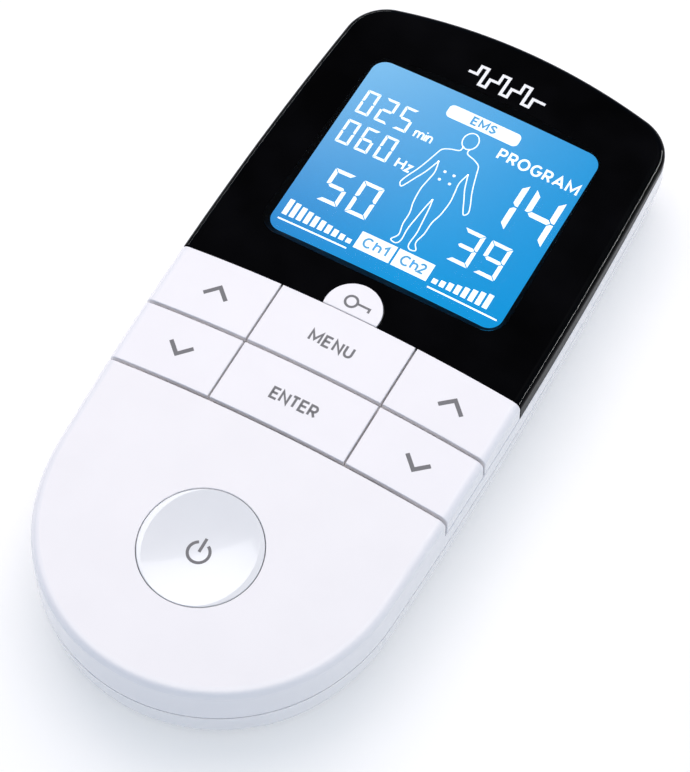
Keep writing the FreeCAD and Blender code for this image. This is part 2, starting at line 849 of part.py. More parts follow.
def make_power_button():
    """The round button with a hidden flange, a stem, and a dish whose floor leans with the crowned face."""
    skin = size("wall") + size("rest_gap")
    flange_limit = fixed_shape("flange_limit", inner_form(skin, skin))
    x, y = STEMS["power_button"]
    disc = rod("power_disc", "power_radius", x, y, ("power_flange_bottom", PAST_FACE))
    flange = rod(
        "power_flange_disc", "power_radius + power_flange", x, y, ("power_flange_bottom", "body_height")
    )
    post = rod("power_stem", "stem_radius", x, y, (STEM_LOW, "power_flange_bottom + margin / 2"))
    face = softened("power_rounded", shared("power_face", outer_form, disc))
    blank = fused("power_blank", face, shared("power_lip", flange_limit, flange), post)
    dish = doc.addObject("Part::Sphere", "power_dish_ball")
    dish_radius = "(((power_radius - power_rim) ^ 2 + power_dish ^ 2) / (2 * power_dish))"
    face_height = "(body_height - power_centre ^ 2 / (2 * crown_along_radius))"
    rim_drop = "((power_radius - power_rim) ^ 2 / (4 * crown_across_radius))"
    lean = "(power_centre / crown_along_radius)"
    bind(dish, Radius=dish_radius)
    place(
        dish,
        "0",
        f"power_centre + {dish_radius} * {lean}",
        f"{face_height} - {rim_drop} - power_dish + {dish_radius} * (1 - {lean} ^ 2 / 2)",
    )
    keep(cut("power_button", blank, dish), "power_button")


# PartDesign bodies: a sketched rectangle or profile, padded, pocketed or turned.


def new_body(label):
    """An empty body that is a sub-part."""
    body = doc.addObject("PartDesign::Body", label)
    return keep(body, label)


def sketch_on(body, name, role, height="0"):
    """A sketch on one of the body's own origin planes, lifted by an expression."""
    plane = next(feature for feature in body.Origin.OriginFeatures if feature.Role == role)
    sketch = body.newObject("Sketcher::SketchObject", name)
    sketch.AttachmentSupport = (plane, "")
    sketch.MapMode = "FlatFace"
    bind(sketch, AttachmentOffset__Base__z=height)
    return sketch


def draw_rectangle(sketch, x, y):
    """A rectangle whose four sides are tied to expressions of their distance from the origin."""
    corners = [Vector(-1, -1, 0), Vector(1, -1, 0), Vector(1, 1, 0), Vector(-1, 1, 0)]
    first = sketch.GeometryCount
    for start, end in zip(corners, corners[1:] + corners[:1]):
        sketch.addGeometry(Part.LineSegment(start, end))
    for side in range(4):
        sketch.addConstraint(Sketcher.Constraint("Coincident", first + side, 2, first + (side + 1) % 4, 1))
    for side, kind in enumerate(("Horizontal", "Vertical", "Horizontal", "Vertical")):
        sketch.addConstraint(Sketcher.Constraint(kind, first + side))
    for point, (kind, expression) in (
        (0, ("DistanceX", x[0])),
        (0, ("DistanceY", y[0])),
        (2, ("DistanceX", x[1])),
        (2, ("DistanceY", y[1])),
    ):
        index = sketch.addConstraint(Sketcher.Constraint(kind, -1, 1, first + point, 1, 1.0))
        sketch.setExpression(f"Constraints[{index}]", bound(expression))


def draw_circle(sketch, x, y, radius):
    """A circle tied to expressions."""
    circle = sketch.addGeometry(Part.Circle(Vector(1, 1, 0), Vector(0, 0, 1), 1))
    for kind, expression in (("DistanceX", x), ("DistanceY", y)):
        index = sketch.addConstraint(Sketcher.Constraint(kind, -1, 1, circle, 3, 1.0))
        sketch.setExpression(f"Constraints[{index}]", bound(expression))
    index = sketch.addConstraint(Sketcher.Constraint("Radius", circle, 1.0))
    sketch.setExpression(f"Constraints[{index}]", bound(radius))


def pad(body, sketch, thickness):
    """The sketch raised by a thickness."""
    feature = body.newObject("PartDesign::Pad", f"{sketch.Name}_pad")
    feature.Profile = sketch
    bind(feature, Length=thickness)
    return feature


def pocket_up(body, sketch, depth):
    """A pocket that cuts upwards from its sketch."""
    feature = body.newObject("PartDesign::Pocket", f"{sketch.Name}_pocket")
    feature.Profile = sketch
    feature.Reversed = True
    bind(feature, Length=depth)
    return feature


def slab_body(label, x, y, height, thickness, openings=()):
    """A flat piece with rectangular openings right through it."""
    body = new_body(label)
    face = sketch_on(body, f"{label}_outline", "XY_Plane", height)
    draw_rectangle(face, x, y)
    pad(body, face, thickness)
    for number, (hole_x, hole_y) in enumerate(openings):
        hole = sketch_on(body, f"{label}_opening_{number}", "XY_Plane", height)
        draw_rectangle(hole, hole_x, hole_y)
        pocket_up(body, hole, thickness)
    return body


GLASS_LOW = "(window_middle - glass_length / 2)"
GLASS_HIGH = "(window_middle + glass_length / 2)"
GLASS_BASE = "(glass_top - glass_thickness)"


def make_display_stack():
    """From the board upwards: reflector, light guide with its lights, diffuser and glass."""
    guide_x = centred("glass_width - 2 * frame_lip - 4 * rest_gap")
    guide_y = (f"{GLASS_LOW} + guide_border", f"{GLASS_HIGH} - guide_border")
    slab_body("reflector_film", guide_x, guide_y, "board_top", "film_thickness")
    slab_body("light_guide", guide_x, guide_y, "board_top + film_thickness", "guide_thickness")
    diffuser_low = f"{GLASS_BASE} - film_thickness - film_gap"
    slab_body("diffuser_film", guide_x, guide_y, diffuser_low, "film_thickness")
    glass_y = centred("glass_length", "window_middle")
    slab_body("lcd_glass", centred("glass_width"), glass_y, GLASS_BASE, "glass_thickness")
    light_y = f"{GLASS_HIGH} - guide_border + light_gap"
    lights = []
    for number in range(int(size("light_count"))):
        middle = f"({number} - (light_count - 1) / 2) * glass_width / (light_count + 1)"
        lights.append(
            block(
                f"light_{number}",
                centred("light_width", middle),
                (light_y, f"{light_y} + light_depth"),
                ("board_top", "board_top + guide_thickness"),
            )
        )
    keep(group("backlight_leds", *lights), "backlight_leds")


def make_display_mount():
    """The conducting strip between the board and the glass, and the frame that the glass lies in."""
    strip_y = f"{GLASS_LOW} + frame_lip + light_gap"
    strip = block(
        "lcd_connector_strip",
        centred("glass_width - 2 * strip_border"),
        (strip_y, f"{strip_y} + strip_width"),
        ("board_top", GLASS_BASE),
    )
    keep(strip, "lcd_connector_strip")
    frame = new_body("lcd_frame")
    outer = sketch_on(frame, "lcd_frame_outline", "XY_Plane", "board_top")
    draw_rectangle(outer, centred("frame_width"), centred("frame_length", "window_middle"))
    pad(frame, outer, "frame_top - board_top")
    inner = sketch_on(frame, "lcd_frame_window", "XY_Plane", "board_top")
    inner_length = "glass_length - 2 * frame_lip"
    draw_rectangle(inner, centred("glass_width - 2 * frame_lip"), centred(inner_length, "window_middle"))
    pocket_up(frame, inner, "frame_top - board_top")
    seat = sketch_on(frame, "lcd_frame_seat", "XY_Plane", GLASS_BASE)
    seat_length = "glass_length + 4 * rest_gap"
    draw_rectangle(seat, centred("glass_width + 4 * rest_gap"), centred(seat_length, "window_middle"))
    pocket_up(frame, seat, "frame_top - board_top")


BOARD_UNDER = "(board_top - board_thickness)"


def make_board():
    """The board: wide under the keys and the display, narrow beside the screws at both ends."""
    body = new_body("main_board")
    outlines = (
        ("board_main", "board_width", ("board_low", "board_high")),
        ("board_round_end", "board_tail_width", ("board_tail_low", "board_low + margin")),
        ("board_jack_end", "board_jack_width", ("board_high - margin", "board_jack_high")),
    )
    for name, width, along in outlines:
        face = sketch_on(body, name, "XY_Plane", BOARD_UNDER)
        draw_rectangle(face, centred(width), along)
        pad(body, face, "board_thickness")
    holes = sketch_on(body, "board_holes", "XY_Plane", BOARD_UNDER)
    for side in (-1, 1):
        for y in ("board_hole_high", "board_hole_low"):
            draw_circle(holes, f"board_hole_across * {side}", y, "board_hole_radius")
    pocket_up(body, holes, "board_thickness")


def make_keypad():
    """The silicone mat with one boss under each stem and a pocket for the dome in each boss."""
    low = "board_top"
    high = "board_top + mat_thickness"
    main_y = (f"{KEYS_BOTTOM} - mat_inset", f"{DECK_END} - mat_inset / 2")
    main = block("mat_main", centred("board_width - margin"), main_y, (low, high))
    tongue_y = ("power_centre - mat_tongue_width / 2", KEYS_BOTTOM)
    tongue = block("mat_tongue", centred("mat_tongue_width"), tongue_y, (low, high))
    bosses = []
    pockets = []
    for name, (x, y) in STEMS.items():
        bosses.append(rod(f"{name}_boss", "stem_radius + boss_rim", x, y, (low, f"{high} + boss_height")))
        pocket_top = f"{low} + dome_height + rest_gap"
        pockets.append(rod(f"{name}_pocket", "dome_radius + dome_fit", x, y, (low, pocket_top)))
    keep(cut("keypad_mat", fused("mat_blank", main, tongue, *bosses), *pockets), "keypad_mat")


def cone(name, foot, crown, height, x, y):
    """A cone frustum that stands on the board."""
    frustum = doc.addObject("Part::Cone", name)
    bind(frustum, Radius1=foot, Radius2=crown, Height=height)
    place(frustum, x, y, "board_top")
    return frustum


def make_domes():
    """A thin metal snap dome on the board under each key."""
    domes = []
    for name, (x, y) in STEMS.items():
        cap = cone(f"{name}_dome_top", "dome_radius", "dome_crown_radius", "dome_height", x, y)
        hollow = cone(
            f"{name}_dome_hollow",
            "dome_radius - dome_thickness * 2",
            "dome_crown_radius - dome_thickness",
            "dome_height - dome_thickness",
            x,
            y,
        )
        domes.append(cut(f"{name}_dome", cap, hollow))
    keep(group("snap_domes", *domes), "snap_domes")


def hung(drop, height):
    """A low and a high height for a piece that hangs a drop below the board."""
    return (f"{BOARD_UNDER} - {drop} - {height}", f"{BOARD_UNDER} - {drop}")


def make_transformer(name, side):
    """A laminated core with two holes, and the winding about its middle leg."""
    middle = f"core_across * {side}"
    along = centred("core_depth", "core_along")
    yoke = block(f"core_{name}", centred("core_width", middle), along, hung("core_gap", "core_height"))
    hole_height = hung("(core_gap + core_yoke)", "(core_height - 2 * core_yoke)")
    holes = [
        block(
            f"core_hole_{name}_{hand}",
            centred("core_hole_width", f"{middle} + {hand} * core_hole_across"),
            centred("core_depth + margin", "core_along"),
            hole_height,
        )
        for hand in (-1, 1)
    ]
    keep(cut(f"transformer_core_{name}", yoke, *holes), f"transformer_core_{name}")
    winding = block(
        f"winding_{name}",
        centred("winding_width", middle),
        centred("winding_depth", "core_along"),
        hung("(core_gap + core_height / 2 - winding_height / 2)", "winding_height"),
    )
    bore = block(
        f"winding_bore_{name}",
        centred("winding_bore_width", middle),
        centred("winding_bore_depth", "core_along"),
        ("0", BOARD_UNDER),
    )
    keep(cut(f"transformer_winding_{name}", winding, bore), f"transformer_winding_{name}")


def make_board_parts():
    """The small components that hang from the board beyond the batteries."""
    chip_y = centred("chip_width", "chip_along")
    chip_low = f"{BOARD_UNDER} - chip_height"
    slab_body("controller_chip", centred("chip_width"), chip_y, chip_low, "chip_height")
    crystal_y = centred("crystal_depth", "crystal_along")
    crystal_low = f"{BOARD_UNDER} - crystal_height"
    slab_body("clock_crystal", centred("crystal_width"), crystal_y, crystal_low, "crystal_height")
    cans = [
        rod(f"can_{side}", "can_radius", f"can_across * {side}", "can_along", hung("0", "can_height"))
        for side in (-1, 1)
    ]
    keep(group("storage_capacitors", *cans), "storage_capacitors")
    case = rod("buzzer_case", "buzzer_radius", "0", "buzzer_along", hung("0", "buzzer_height"))
    buzzer_low = f"{BOARD_UNDER} - buzzer_height"
    port_height = (f"{buzzer_low} - margin", f"{buzzer_low} + buzzer_port_depth")
    port = rod("buzzer_port", "buzzer_port_radius", "0", "buzzer_along", port_height)
    keep(cut("buzzer", case, port), "buzzer")
    transistors = [
        block(
            f"{distance}_{side}",
            centred("transistor_width", f"{distance} * {side}"),
            centred("transistor_depth", "transistor_along"),
            hung("0", "transistor_height"),
        )
        for distance in ("transistor_near", "transistor_far")
        for side in (-1, 1)
    ]
    keep(group("output_transistors", *transistors), "output_transistors")


def make_jacks():
    """Two output jacks under the board, whose noses fill the holes in the display end."""
    slot_low = "jack_height + jack_bore_radius + jack_slot_wall"
    contact_low = f"{slot_low} + jack_contact_air"
    contacts = []
    for side, name in ((-1, "left"), (1, "right")):
        x = f"jack_spacing / 2 * {side}"
        case = block(
            f"jack_case_{name}",
            centred("jack_width", x),
            ("jack_back", "jack_front"),
            ("jack_height - jack_case_drop", BOARD_UNDER),
        )
        nose_y = ("jack_front - margin", "jack_mouth")
        nose = rod_along_y(f"jack_nose_{name}", "jack_nose_radius", x, nose_y, "jack_height")
        bore_y = ("jack_mouth - jack_bore_length", "jack_mouth + margin")
        bore = rod_along_y(f"jack_bore_{name}", "jack_bore_radius", x, bore_y, "jack_height")
        slot = block(
            f"jack_slot_{name}",
            centred("jack_slot_width", x),
            ("jack_back + jack_slot_border", "jack_front - jack_slot_border"),
            (slot_low, f"{slot_low} + jack_slot_height"),
        )
        socket = cut(f"output_jack_{name}", fused(f"jack_blank_{name}", case, nose), bore, slot)
        keep(socket, f"output_jack_{name}")
        contact_border = "(jack_slot_border + jack_contact_air)"
        contacts.append(
            block(
                f"jack_contact_{name}",
                centred("jack_contact_width", x),
                (f"jack_back + {contact_border}", f"jack_front - {contact_border}"),
                (contact_low, f"{contact_low} + jack_contact_thickness"),
            )
        )
    keep(group("jack_contacts", *contacts), "jack_contacts")


CELL_HEIGHT = "(bay_top - cell_air - cell_radius)"
# Cell name: place across the body, and which way its nub points along it.
CELLS = {"left": (-1, 1), "middle": (0, -1), "right": (1, 1)}


def cell_profile():
    """Half of an AAA cell's section, from the middle of its flat end to the middle of its nub."""
    rim = size("cell_radius")
    nub = size("cell_nub_radius")
    length = size("cell_length")
    bevel = size("cell_bevel")
    step = size("cell_step")
    nub_bevel = size("cell_nub_bevel")
    collar = rim - size("cell_collar")
    shoulder = length - size("cell_nub_length")
    return [
        (0, 0),
        (collar, 0),
        (collar, step),
        (rim - bevel, step),
        (rim, step + bevel),
        (rim, shoulder - step - bevel),
        (rim - bevel, shoulder - step),
        (nub, shoulder - step),
        (nub, length - nub_bevel),
        (nub - nub_bevel, length),
        (0, length),
    ]


def make_batteries():
    """Three AAA cells, turned from one profile, the middle one the other way round."""
    for name, (place_across, way) in CELLS.items():
        body = new_body(f"battery_{name}")
        profile = sketch_on(body, f"battery_{name}_profile", "XZ_Plane")
        corners = [Vector(x, y, 0) for x, y in cell_profile()]
        for start, end in zip(corners, corners[1:] + corners[:1]):
            profile.addGeometry(Part.LineSegment(start, end))
        turn = body.newObject("PartDesign::Revolution", f"battery_{name}_turn")
        turn.Profile = profile
        turn.ReferenceAxis = (profile, ["V_Axis"])
        turn.Angle = 360
        body.Placement = Placement(Vector(), Rotation(Vector(1, 0, 0), -90 * way))
        nub_end = BAY_HIGH if way > 0 else BAY_LOW
        flat_end = f"{nub_end} - {way} * (contact_thickness + cell_end_air + cell_length)"
        place(body, f"cell_pitch * {place_across}", flat_end, CELL_HEIGHT)


def make_battery_contacts():
    """Flat plates at the nubs, and bent leaf springs at the cells' flat ends."""
    plates = []
    springs = []
    low = f"{CELL_HEIGHT} - contact_reach"
    height = (low, f"{CELL_HEIGHT} + contact_reach")
    reach = "(bay_length - cell_length - 2 * contact_thickness - cell_end_air - frame_fit)"
    for name, (place_across, way) in CELLS.items():
        x = f"cell_pitch * {place_across}"
        wide = centred("contact_width", x)
        narrow = centred("leaf_width", x)
        near, far = (BAY_HIGH, BAY_LOW) if way > 0 else (BAY_LOW, BAY_HIGH)
        in_from_wall = "(contact_thickness / 2 + rest_gap)"
        plate_y = centred("contact_thickness", f"{near} - {way} * {in_from_wall}")
        plates.append(block(f"plate_{name}", wide, plate_y, height))
        base_y = centred("contact_thickness", f"{far} + {way} * {in_from_wall}")
        base = block(f"leaf_base_{name}", wide, base_y, height)
        arm_y = centred(reach, f"{far} + {way} * ({reach} / 2 + contact_thickness / 2)")
        arm = block(f"leaf_arm_{name}", narrow, arm_y, (low, f"{low} + leaf_thickness"))
        tip_y = centred("leaf_thickness", f"{far} + {way} * {reach}")
        tip = block(f"leaf_tip_{name}", narrow, tip_y, (low, f"{CELL_HEIGHT} + leaf_tip_reach"))
        springs.append(fused(f"leaf_{name}", base, arm, tip))
    keep(group("battery_plates", *plates), "battery_plates")
    keep(group("battery_springs", *springs), "battery_springs")


def make_screws():
    """Pan-head screws from the back, with a cross recess."""
    screws = []
    face = "(screw_head_seat - screw_head_height)"
    depth = (f"{face} - margin", f"{face} + screw_slot_depth")
    for name, x, y in screw_places():
        head = rod(f"screw_head_{name}", "screw_head_radius", x, y, (face, "screw_head_seat"))
        shank_low = "screw_head_seat - screw_head_height / 4"
        shank = rod(f"screw_shank_{name}", "screw_radius", x, y, (shank_low, "screw_end"))
        slots = [
            block(f"screw_slot_{name}_{number}", centred(width, x), centred(length, y), depth)
            for number, (width, length) in enumerate(
                (("screw_slot_length", "screw_slot_width"), ("screw_slot_width", "screw_slot_length"))
            )
        ]
        screws.append(cut(f"screw_{name}", fused(f"screw_blank_{name}", head, shank), *slots))
    keep(group("housing_screws", *screws), "housing_screws")


def check_and_export():
    """Every object must be up to date and every sub-part valid before anything is written."""
    doc.recompute()
    for thing in doc.Objects:
        if "Invalid" in thing.State or "Error" in thing.State:
            raise RuntimeError(f"{thing.Name} failed: {thing.State}")
    os.makedirs("parts", exist_ok=True)
    for thing in SUBPARTS:
        if thing.Shape.isNull() or not thing.Shape.isValid():
            raise RuntimeError(f"{thing.Label} has no valid shape")
        thing.Shape.exportStep(f"parts/{thing.Label}.step")
        print(f"{thing.Label}: {len(thing.Shape.Solids)} solid(s), {thing.Shape.Volume:.1f} mm3")


make_front_housing()
make_back_housing()
make_battery_door()
make_cover_and_window()
make_keys()
make_power_button()
make_display_stack()
make_display_mount()
make_board()
make_keypad()
make_domes()
for transformer_name, transformer_side in (("left", -1), ("right", 1)):
    make_transformer(transformer_name, transformer_side)
make_board_parts()
make_jacks()
make_batteries()
make_battery_contacts()
make_screws()
check_and_export()
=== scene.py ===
import json
import math

import bmesh
import bpy
from mathutils import Matrix, Vector
from mathutils.bvhtree import BVHTree


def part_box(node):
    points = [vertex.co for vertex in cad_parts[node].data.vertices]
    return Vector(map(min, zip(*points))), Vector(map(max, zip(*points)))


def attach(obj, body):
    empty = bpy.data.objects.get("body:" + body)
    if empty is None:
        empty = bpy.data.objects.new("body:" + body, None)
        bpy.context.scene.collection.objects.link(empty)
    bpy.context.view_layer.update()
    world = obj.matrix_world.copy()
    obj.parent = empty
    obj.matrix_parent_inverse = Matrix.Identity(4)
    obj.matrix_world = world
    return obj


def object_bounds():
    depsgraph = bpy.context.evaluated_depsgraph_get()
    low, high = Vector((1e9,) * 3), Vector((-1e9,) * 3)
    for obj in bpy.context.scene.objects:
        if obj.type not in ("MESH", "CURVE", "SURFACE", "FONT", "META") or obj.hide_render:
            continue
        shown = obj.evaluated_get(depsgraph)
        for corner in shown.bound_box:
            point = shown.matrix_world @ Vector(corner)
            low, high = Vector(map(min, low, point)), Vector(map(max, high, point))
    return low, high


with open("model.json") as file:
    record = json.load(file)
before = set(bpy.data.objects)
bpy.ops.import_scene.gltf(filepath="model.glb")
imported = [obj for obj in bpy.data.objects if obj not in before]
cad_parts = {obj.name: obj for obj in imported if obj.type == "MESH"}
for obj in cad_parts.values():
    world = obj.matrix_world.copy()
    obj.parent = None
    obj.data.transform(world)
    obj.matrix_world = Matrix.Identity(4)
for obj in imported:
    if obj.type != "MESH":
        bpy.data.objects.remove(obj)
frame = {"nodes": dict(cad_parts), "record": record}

MM = 0.001
NODES = frame["nodes"]
CAD_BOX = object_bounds()


# ---------------------------------------------------------------------------------------------
# Materials: one short function each, built from procedural textures in the object's own metres.


class Finish:
    """A principled material, with small helpers for the textures that feed it."""

    def __init__(self, name, color, roughness, **sockets):
        self.material = bpy.data.materials.new(name)
        self.material.use_nodes = True
        self.tree = self.material.node_tree
        self.surface = self.tree.nodes["Principled BSDF"]
        self.surface.inputs["Base Color"].default_value = (*color, 1)
        self.surface.inputs["Roughness"].default_value = roughness
        for socket, value in sockets.items():
            self.surface.inputs[socket.replace("_", " ")].default_value = value
        self.place = self.tree.nodes.new("ShaderNodeTexCoord").outputs["Object"]

    def node(self, kind, **inputs):
        """A new node; each named input is fed by an output or set to a value."""
        made = self.tree.nodes.new(kind)
        for socket, value in inputs.items():
            target = made.inputs[socket.replace("_", " ")]
            if isinstance(value, bpy.types.NodeSocket):
                self.tree.links.new(value, target)
            else:
                target.default_value = value
        return made

    def feed(self, socket, output):
        """Leads an output into a socket of the surface."""
        self.tree.links.new(output, self.surface.inputs[socket])

    def combine(self, operation, *numbers):
        """Arithmetic on numbers that vary over the surface."""
        made = self.tree.nodes.new("ShaderNodeMath")
        made.operation = operation
        for number, target in zip(numbers, made.inputs):
            self.tree.links.new(number, target)
        return made.outputs[0]

    def blend(self, factor, base, over):
        """A varying colour that turns into a plain one where the factor is high."""
        made = self.tree.nodes.new("ShaderNodeMix")
        made.data_type = "RGBA"
        self.tree.links.new(factor, made.inputs["Factor"])
        self.tree.links.new(base, made.inputs["A"])
        made.inputs["B"].default_value = (*over, 1)
        return made.outputs["Result"]

    def noise(self, size_mm, detail=2.0, stretch=(1, 1, 1)):
        """Cloudy noise whose blobs are about size_mm across."""
        squeezed = self.node("ShaderNodeMapping", Vector=self.place, Scale=stretch)
        made = self.node(
            "ShaderNodeTexNoise", Vector=squeezed.outputs[0], Scale=1 / (size_mm * MM), Detail=detail
        )
        return made.outputs["Fac"]

    def ramp(self, factor, *stops):
        """A colour ramp; each stop is its place and its colour."""
        made = self.node("ShaderNodeValToRGB", Fac=factor)
        elements = made.color_ramp.elements
        while len(elements) < len(stops):
            elements.new(0.5)
        for element, (where, color) in zip(elements, stops):
            element.position = where
            element.color = (*color, 1)
        return made.outputs["Color"]

    def vary(self, socket, factor, low, high):
        """Lets a number on the surface wander between two values with a texture."""
        spread = self.node("ShaderNodeMapRange", Value=factor, To_Min=low, To_Max=high)
        self.feed(socket, spread.outputs[0])

    def paint(self, color):
        """Lets a texture colour the surface."""
        self.feed("Base Color", color)

    def bump(self, height, strength, depth_mm):
        """Fine relief from a texture, with depth_mm between its low and high."""
        made = self.node("ShaderNodeBump", Strength=strength, Distance=depth_mm * MM, Height=height)
        self.feed("Normal", made.outputs[0])

    def bands(self, direction, pitch_mm):
        """Stripes across an axis, a pitch apart; the wave texture has 10 / pi stripes to a unit."""
        made = self.node("ShaderNodeTexWave", Vector=self.place, Scale=math.pi / 10 / (pitch_mm * MM))
        made.wave_type = "BANDS"
        made.bands_direction = direction
        return made.outputs["Fac"]

    def along(self, axis, low, high):
        """A number that rises from 0 to 1 between two places along an axis."""
        parts = self.node("ShaderNodeSeparateXYZ", Vector=self.place)
        spread = self.node("ShaderNodeMapRange", Value=parts.outputs[axis], From_Min=low, From_Max=high)
        return spread.outputs[0]


def dimmed(color, share):
    """The colour at a share of its brightness."""
    return tuple(channel * share for channel in color)


def white_gloss(name, color):
    """Polished white plastic: a faint cloudiness, and the slight ripple that moulding leaves."""
    finish = Finish(name, color, 0.2, Coat_Weight=0.5, Coat_Roughness=0.06)
    cloud = finish.noise(9, 3)
    finish.paint(finish.ramp(cloud, (0.35, dimmed(color, 0.985)), (0.65, color)))
    finish.vary("Roughness", finish.noise(3, 4), 0.16, 0.26)
    finish.bump(finish.noise(1.6, 2), 0.06, 0.02)
    return finish.material


def black_gloss():
    """Piano black: deep and smooth, with faint hairlines in it."""
    finish = Finish("black_gloss", (0.002, 0.002, 0.0025), 0.12, IOR=1.08)
    deep, pale = (0.0012, 0.0012, 0.0014), (0.003, 0.003, 0.0036)
    finish.paint(finish.ramp(finish.noise(12), (0.3, deep), (0.7, pale)))
    finish.vary("Roughness", finish.noise(0.5, 5, (0.1, 1, 1)), 0.02, 0.06)
    finish.bump(finish.noise(5, 1), 0.02, 0.02)
    return finish.material


def clear_pane():
    """Clear acrylic whose slanted sides are masked in black."""
    finish = Finish("clear_pane", (1, 1, 1), 0.0, IOR=1.45)
    facing = finish.tree.nodes.new("ShaderNodeTexCoord").outputs["Normal"]
    level = finish.combine("ABSOLUTE", finish.node("ShaderNodeSeparateXYZ", Vector=facing).outputs["Z"])
    clear = finish.node("ShaderNodeMapRange", Value=level, From_Min=0.93, From_Max=0.96).outputs[0]
    finish.feed("Transmission Weight", clear)
    finish.paint(finish.ramp(clear, (0.0, (0.001, 0.001, 0.001)), (1.0, (0.97, 0.985, 1.0))))
    finish.vary("Specular IOR Level", clear, 0.04, 0.5)
    finish.vary("Roughness", clear, 0.4, 0.004)
    return finish.material


def backlit_glass_with_painted_reflection():
    """The lit liquid crystal, deep cyan at the right, with a painted reflection of the room in the window
    that turns it pale sky blue in the far left corner.
    """
    low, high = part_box("lcd_glass")
    finish = Finish("backlit_glass_with_painted_reflection", (0.0, 0.05, 0.12), 0.25, Emission_Strength=1.0)
    across = finish.along("X", low[0], high[0])
    along = finish.along("Y", low[1], high[1])
    left, middle, right = (0.02, 0.25, 0.64), (0.0, 0.32, 0.74), (0.0, 0.31, 0.72)
    blue = finish.ramp(across, (0.0, left), (0.55, middle), (1.0, right))
    # Painted reflection: the emission is blended towards pale sky blue most at the far left corner, as if
    # the window mirrored the room there.
    reflection_falloff = finish.ramp(across, (0.0, (1, 1, 1)), (0.75, (0.25, 0.25, 0.25)), (1.0, (0.1, 0.1, 0.1)))
    painted_reflection = finish.combine("MULTIPLY", along, reflection_falloff)
    finish.feed("Emission Color", finish.blend(painted_reflection, blue, (0.26, 0.6, 0.93)))
    return finish.material


def lit(name, color, faded):
    """A segment that glows evenly but for a slight cloudiness of the light behind it."""
    finish = Finish(name, color, 0.4, Emission_Strength=1.0)
    finish.feed("Emission Color", finish.ramp(finish.noise(6), (0.3, faded), (0.7, color)))
    return finish.material


def ink(name, color):
    """Screen-printed ink with the fine unevenness of its mesh."""
    finish = Finish(name, color, 0.45)
    finish.paint(finish.ramp(finish.noise(0.25, 3), (0.35, dimmed(color, 0.94)), (0.65, color)))
    finish.bump(finish.noise(0.12, 1), 0.2, 0.01)
    return finish.material


def matt_plastic(name, color):
    """Spark-textured plastic."""
    finish = Finish(name, color, 0.5)
    grain = finish.noise(0.25, 2)
    finish.paint(finish.ramp(finish.noise(4, 3), (0.3, dimmed(color, 0.9)), (0.7, color)))
    finish.vary("Roughness", grain, 0.42, 0.62)
    finish.bump(grain, 0.35, 0.03)
    return finish.material


def silicone():
    """Milky grey rubber that lets a little light into its skin."""
    finish = Finish("silicone", (0.52, 0.56, 0.6), 0.55, Subsurface_Weight=0.15)
    finish.surface.inputs["Subsurface Radius"].default_value = (0.001, 0.001, 0.001)
    finish.paint(finish.ramp(finish.noise(5, 3), (0.3, (0.48, 0.52, 0.56)), (0.7, (0.56, 0.6, 0.64))))
    finish.bump(finish.noise(0.3, 2), 0.25, 0.02)
    return finish.material


def circuit_board():
    """Green solder mask over a grid of tracks."""
    finish = Finish("circuit_board", (0.01, 0.12, 0.04), 0.3, Coat_Weight=0.4, Coat_Roughness=0.15)
    tracks = finish.node("ShaderNodeTexBrick", Vector=finish.place, Scale=1 / (8 * MM))
    tracks.inputs["Color1"].default_value = (0.006, 0.10, 0.035, 1)
    tracks.inputs["Color2"].default_value = (0.009, 0.13, 0.045, 1)
    tracks.inputs["Mortar"].default_value = (0.03, 0.24, 0.09, 1)
    tracks.inputs["Mortar Size"].default_value = 0.03
    finish.paint(tracks.outputs["Color"])
    finish.bump(tracks.outputs["Fac"], 0.4, 0.03)
    finish.vary("Roughness", finish.noise(2, 3), 0.22, 0.4)
    return finish.material


def bright_metal():
    """Nickel plating with fine drawn scratches along X."""
    color = (0.62, 0.63, 0.65)
    finish = Finish("bright_metal", color, 0.28, Metallic=1.0)
    scratches = finish.noise(0.3, 4, (0.2, 1, 1))
    finish.paint(finish.ramp(scratches, (0.3, dimmed(color, 0.85)), (0.7, color)))
    finish.vary("Roughness", scratches, 0.196, 0.42)
    finish.bump(scratches, 0.15, 0.01)
    return finish.material


def laminated_core():
    """Lacquered iron sheets, stacked along Y."""
    finish = Finish("laminated_core", (0.1, 0.1, 0.11), 0.4, Metallic=0.7)
    sheets = finish.bands("Y", 0.5)
    finish.paint(finish.ramp(sheets, (0.1, (0.02, 0.02, 0.022)), (0.5, (0.16, 0.16, 0.17))))
    finish.bump(sheets, 0.5, 0.05)
    return finish.material


def copper_winding():
    """Lacquered wire, laid turn by turn."""
    finish = Finish("copper_winding", (0.5, 0.18, 0.05), 0.25, Metallic=1.0, Coat_Weight=0.6)
    turns = finish.bands("Z", 0.25)
    finish.paint(finish.ramp(turns, (0.05, (0.12, 0.03, 0.01)), (0.5, (0.62, 0.23, 0.07))))
    finish.bump(turns, 0.8, 0.08)
    return finish.material


def cell_jacket():
    """A dry cell's foil jacket: a dark blue third, then pale silver, with bare ends."""
    low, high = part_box("battery_middle")
    finish = Finish("cell_jacket", (0.15, 0.24, 0.32), 0.3, Metallic=0.6, Coat_Weight=0.5)
    stops = (
        (0.0, (0.55, 0.56, 0.58)),
        (0.04, (0.08, 0.16, 0.24)),
        (0.3, (0.09, 0.18, 0.27)),
        (0.34, (0.6, 0.62, 0.64)),
        (0.9, (0.66, 0.68, 0.7)),
        (0.96, (0.5, 0.5, 0.52)),
    )
    finish.paint(finish.ramp(finish.along("Y", low[1], high[1]), *stops))
    finish.vary("Roughness", finish.noise(2, 3), 0.22, 0.38)
    finish.bump(finish.noise(1.2, 2), 0.05, 0.02)
    return finish.material


def can_sleeve():
    """The blue shrink sleeve of a capacitor."""
    finish = Finish("can_sleeve", (0.03, 0.05, 0.16), 0.3, Coat_Weight=0.3)
    finish.paint(finish.ramp(finish.noise(2, 3), (0.3, (0.02, 0.035, 0.12)), (0.7, (0.035, 0.06, 0.2))))
    finish.bump(finish.noise(0.8, 2), 0.15, 0.03)
    return finish.material


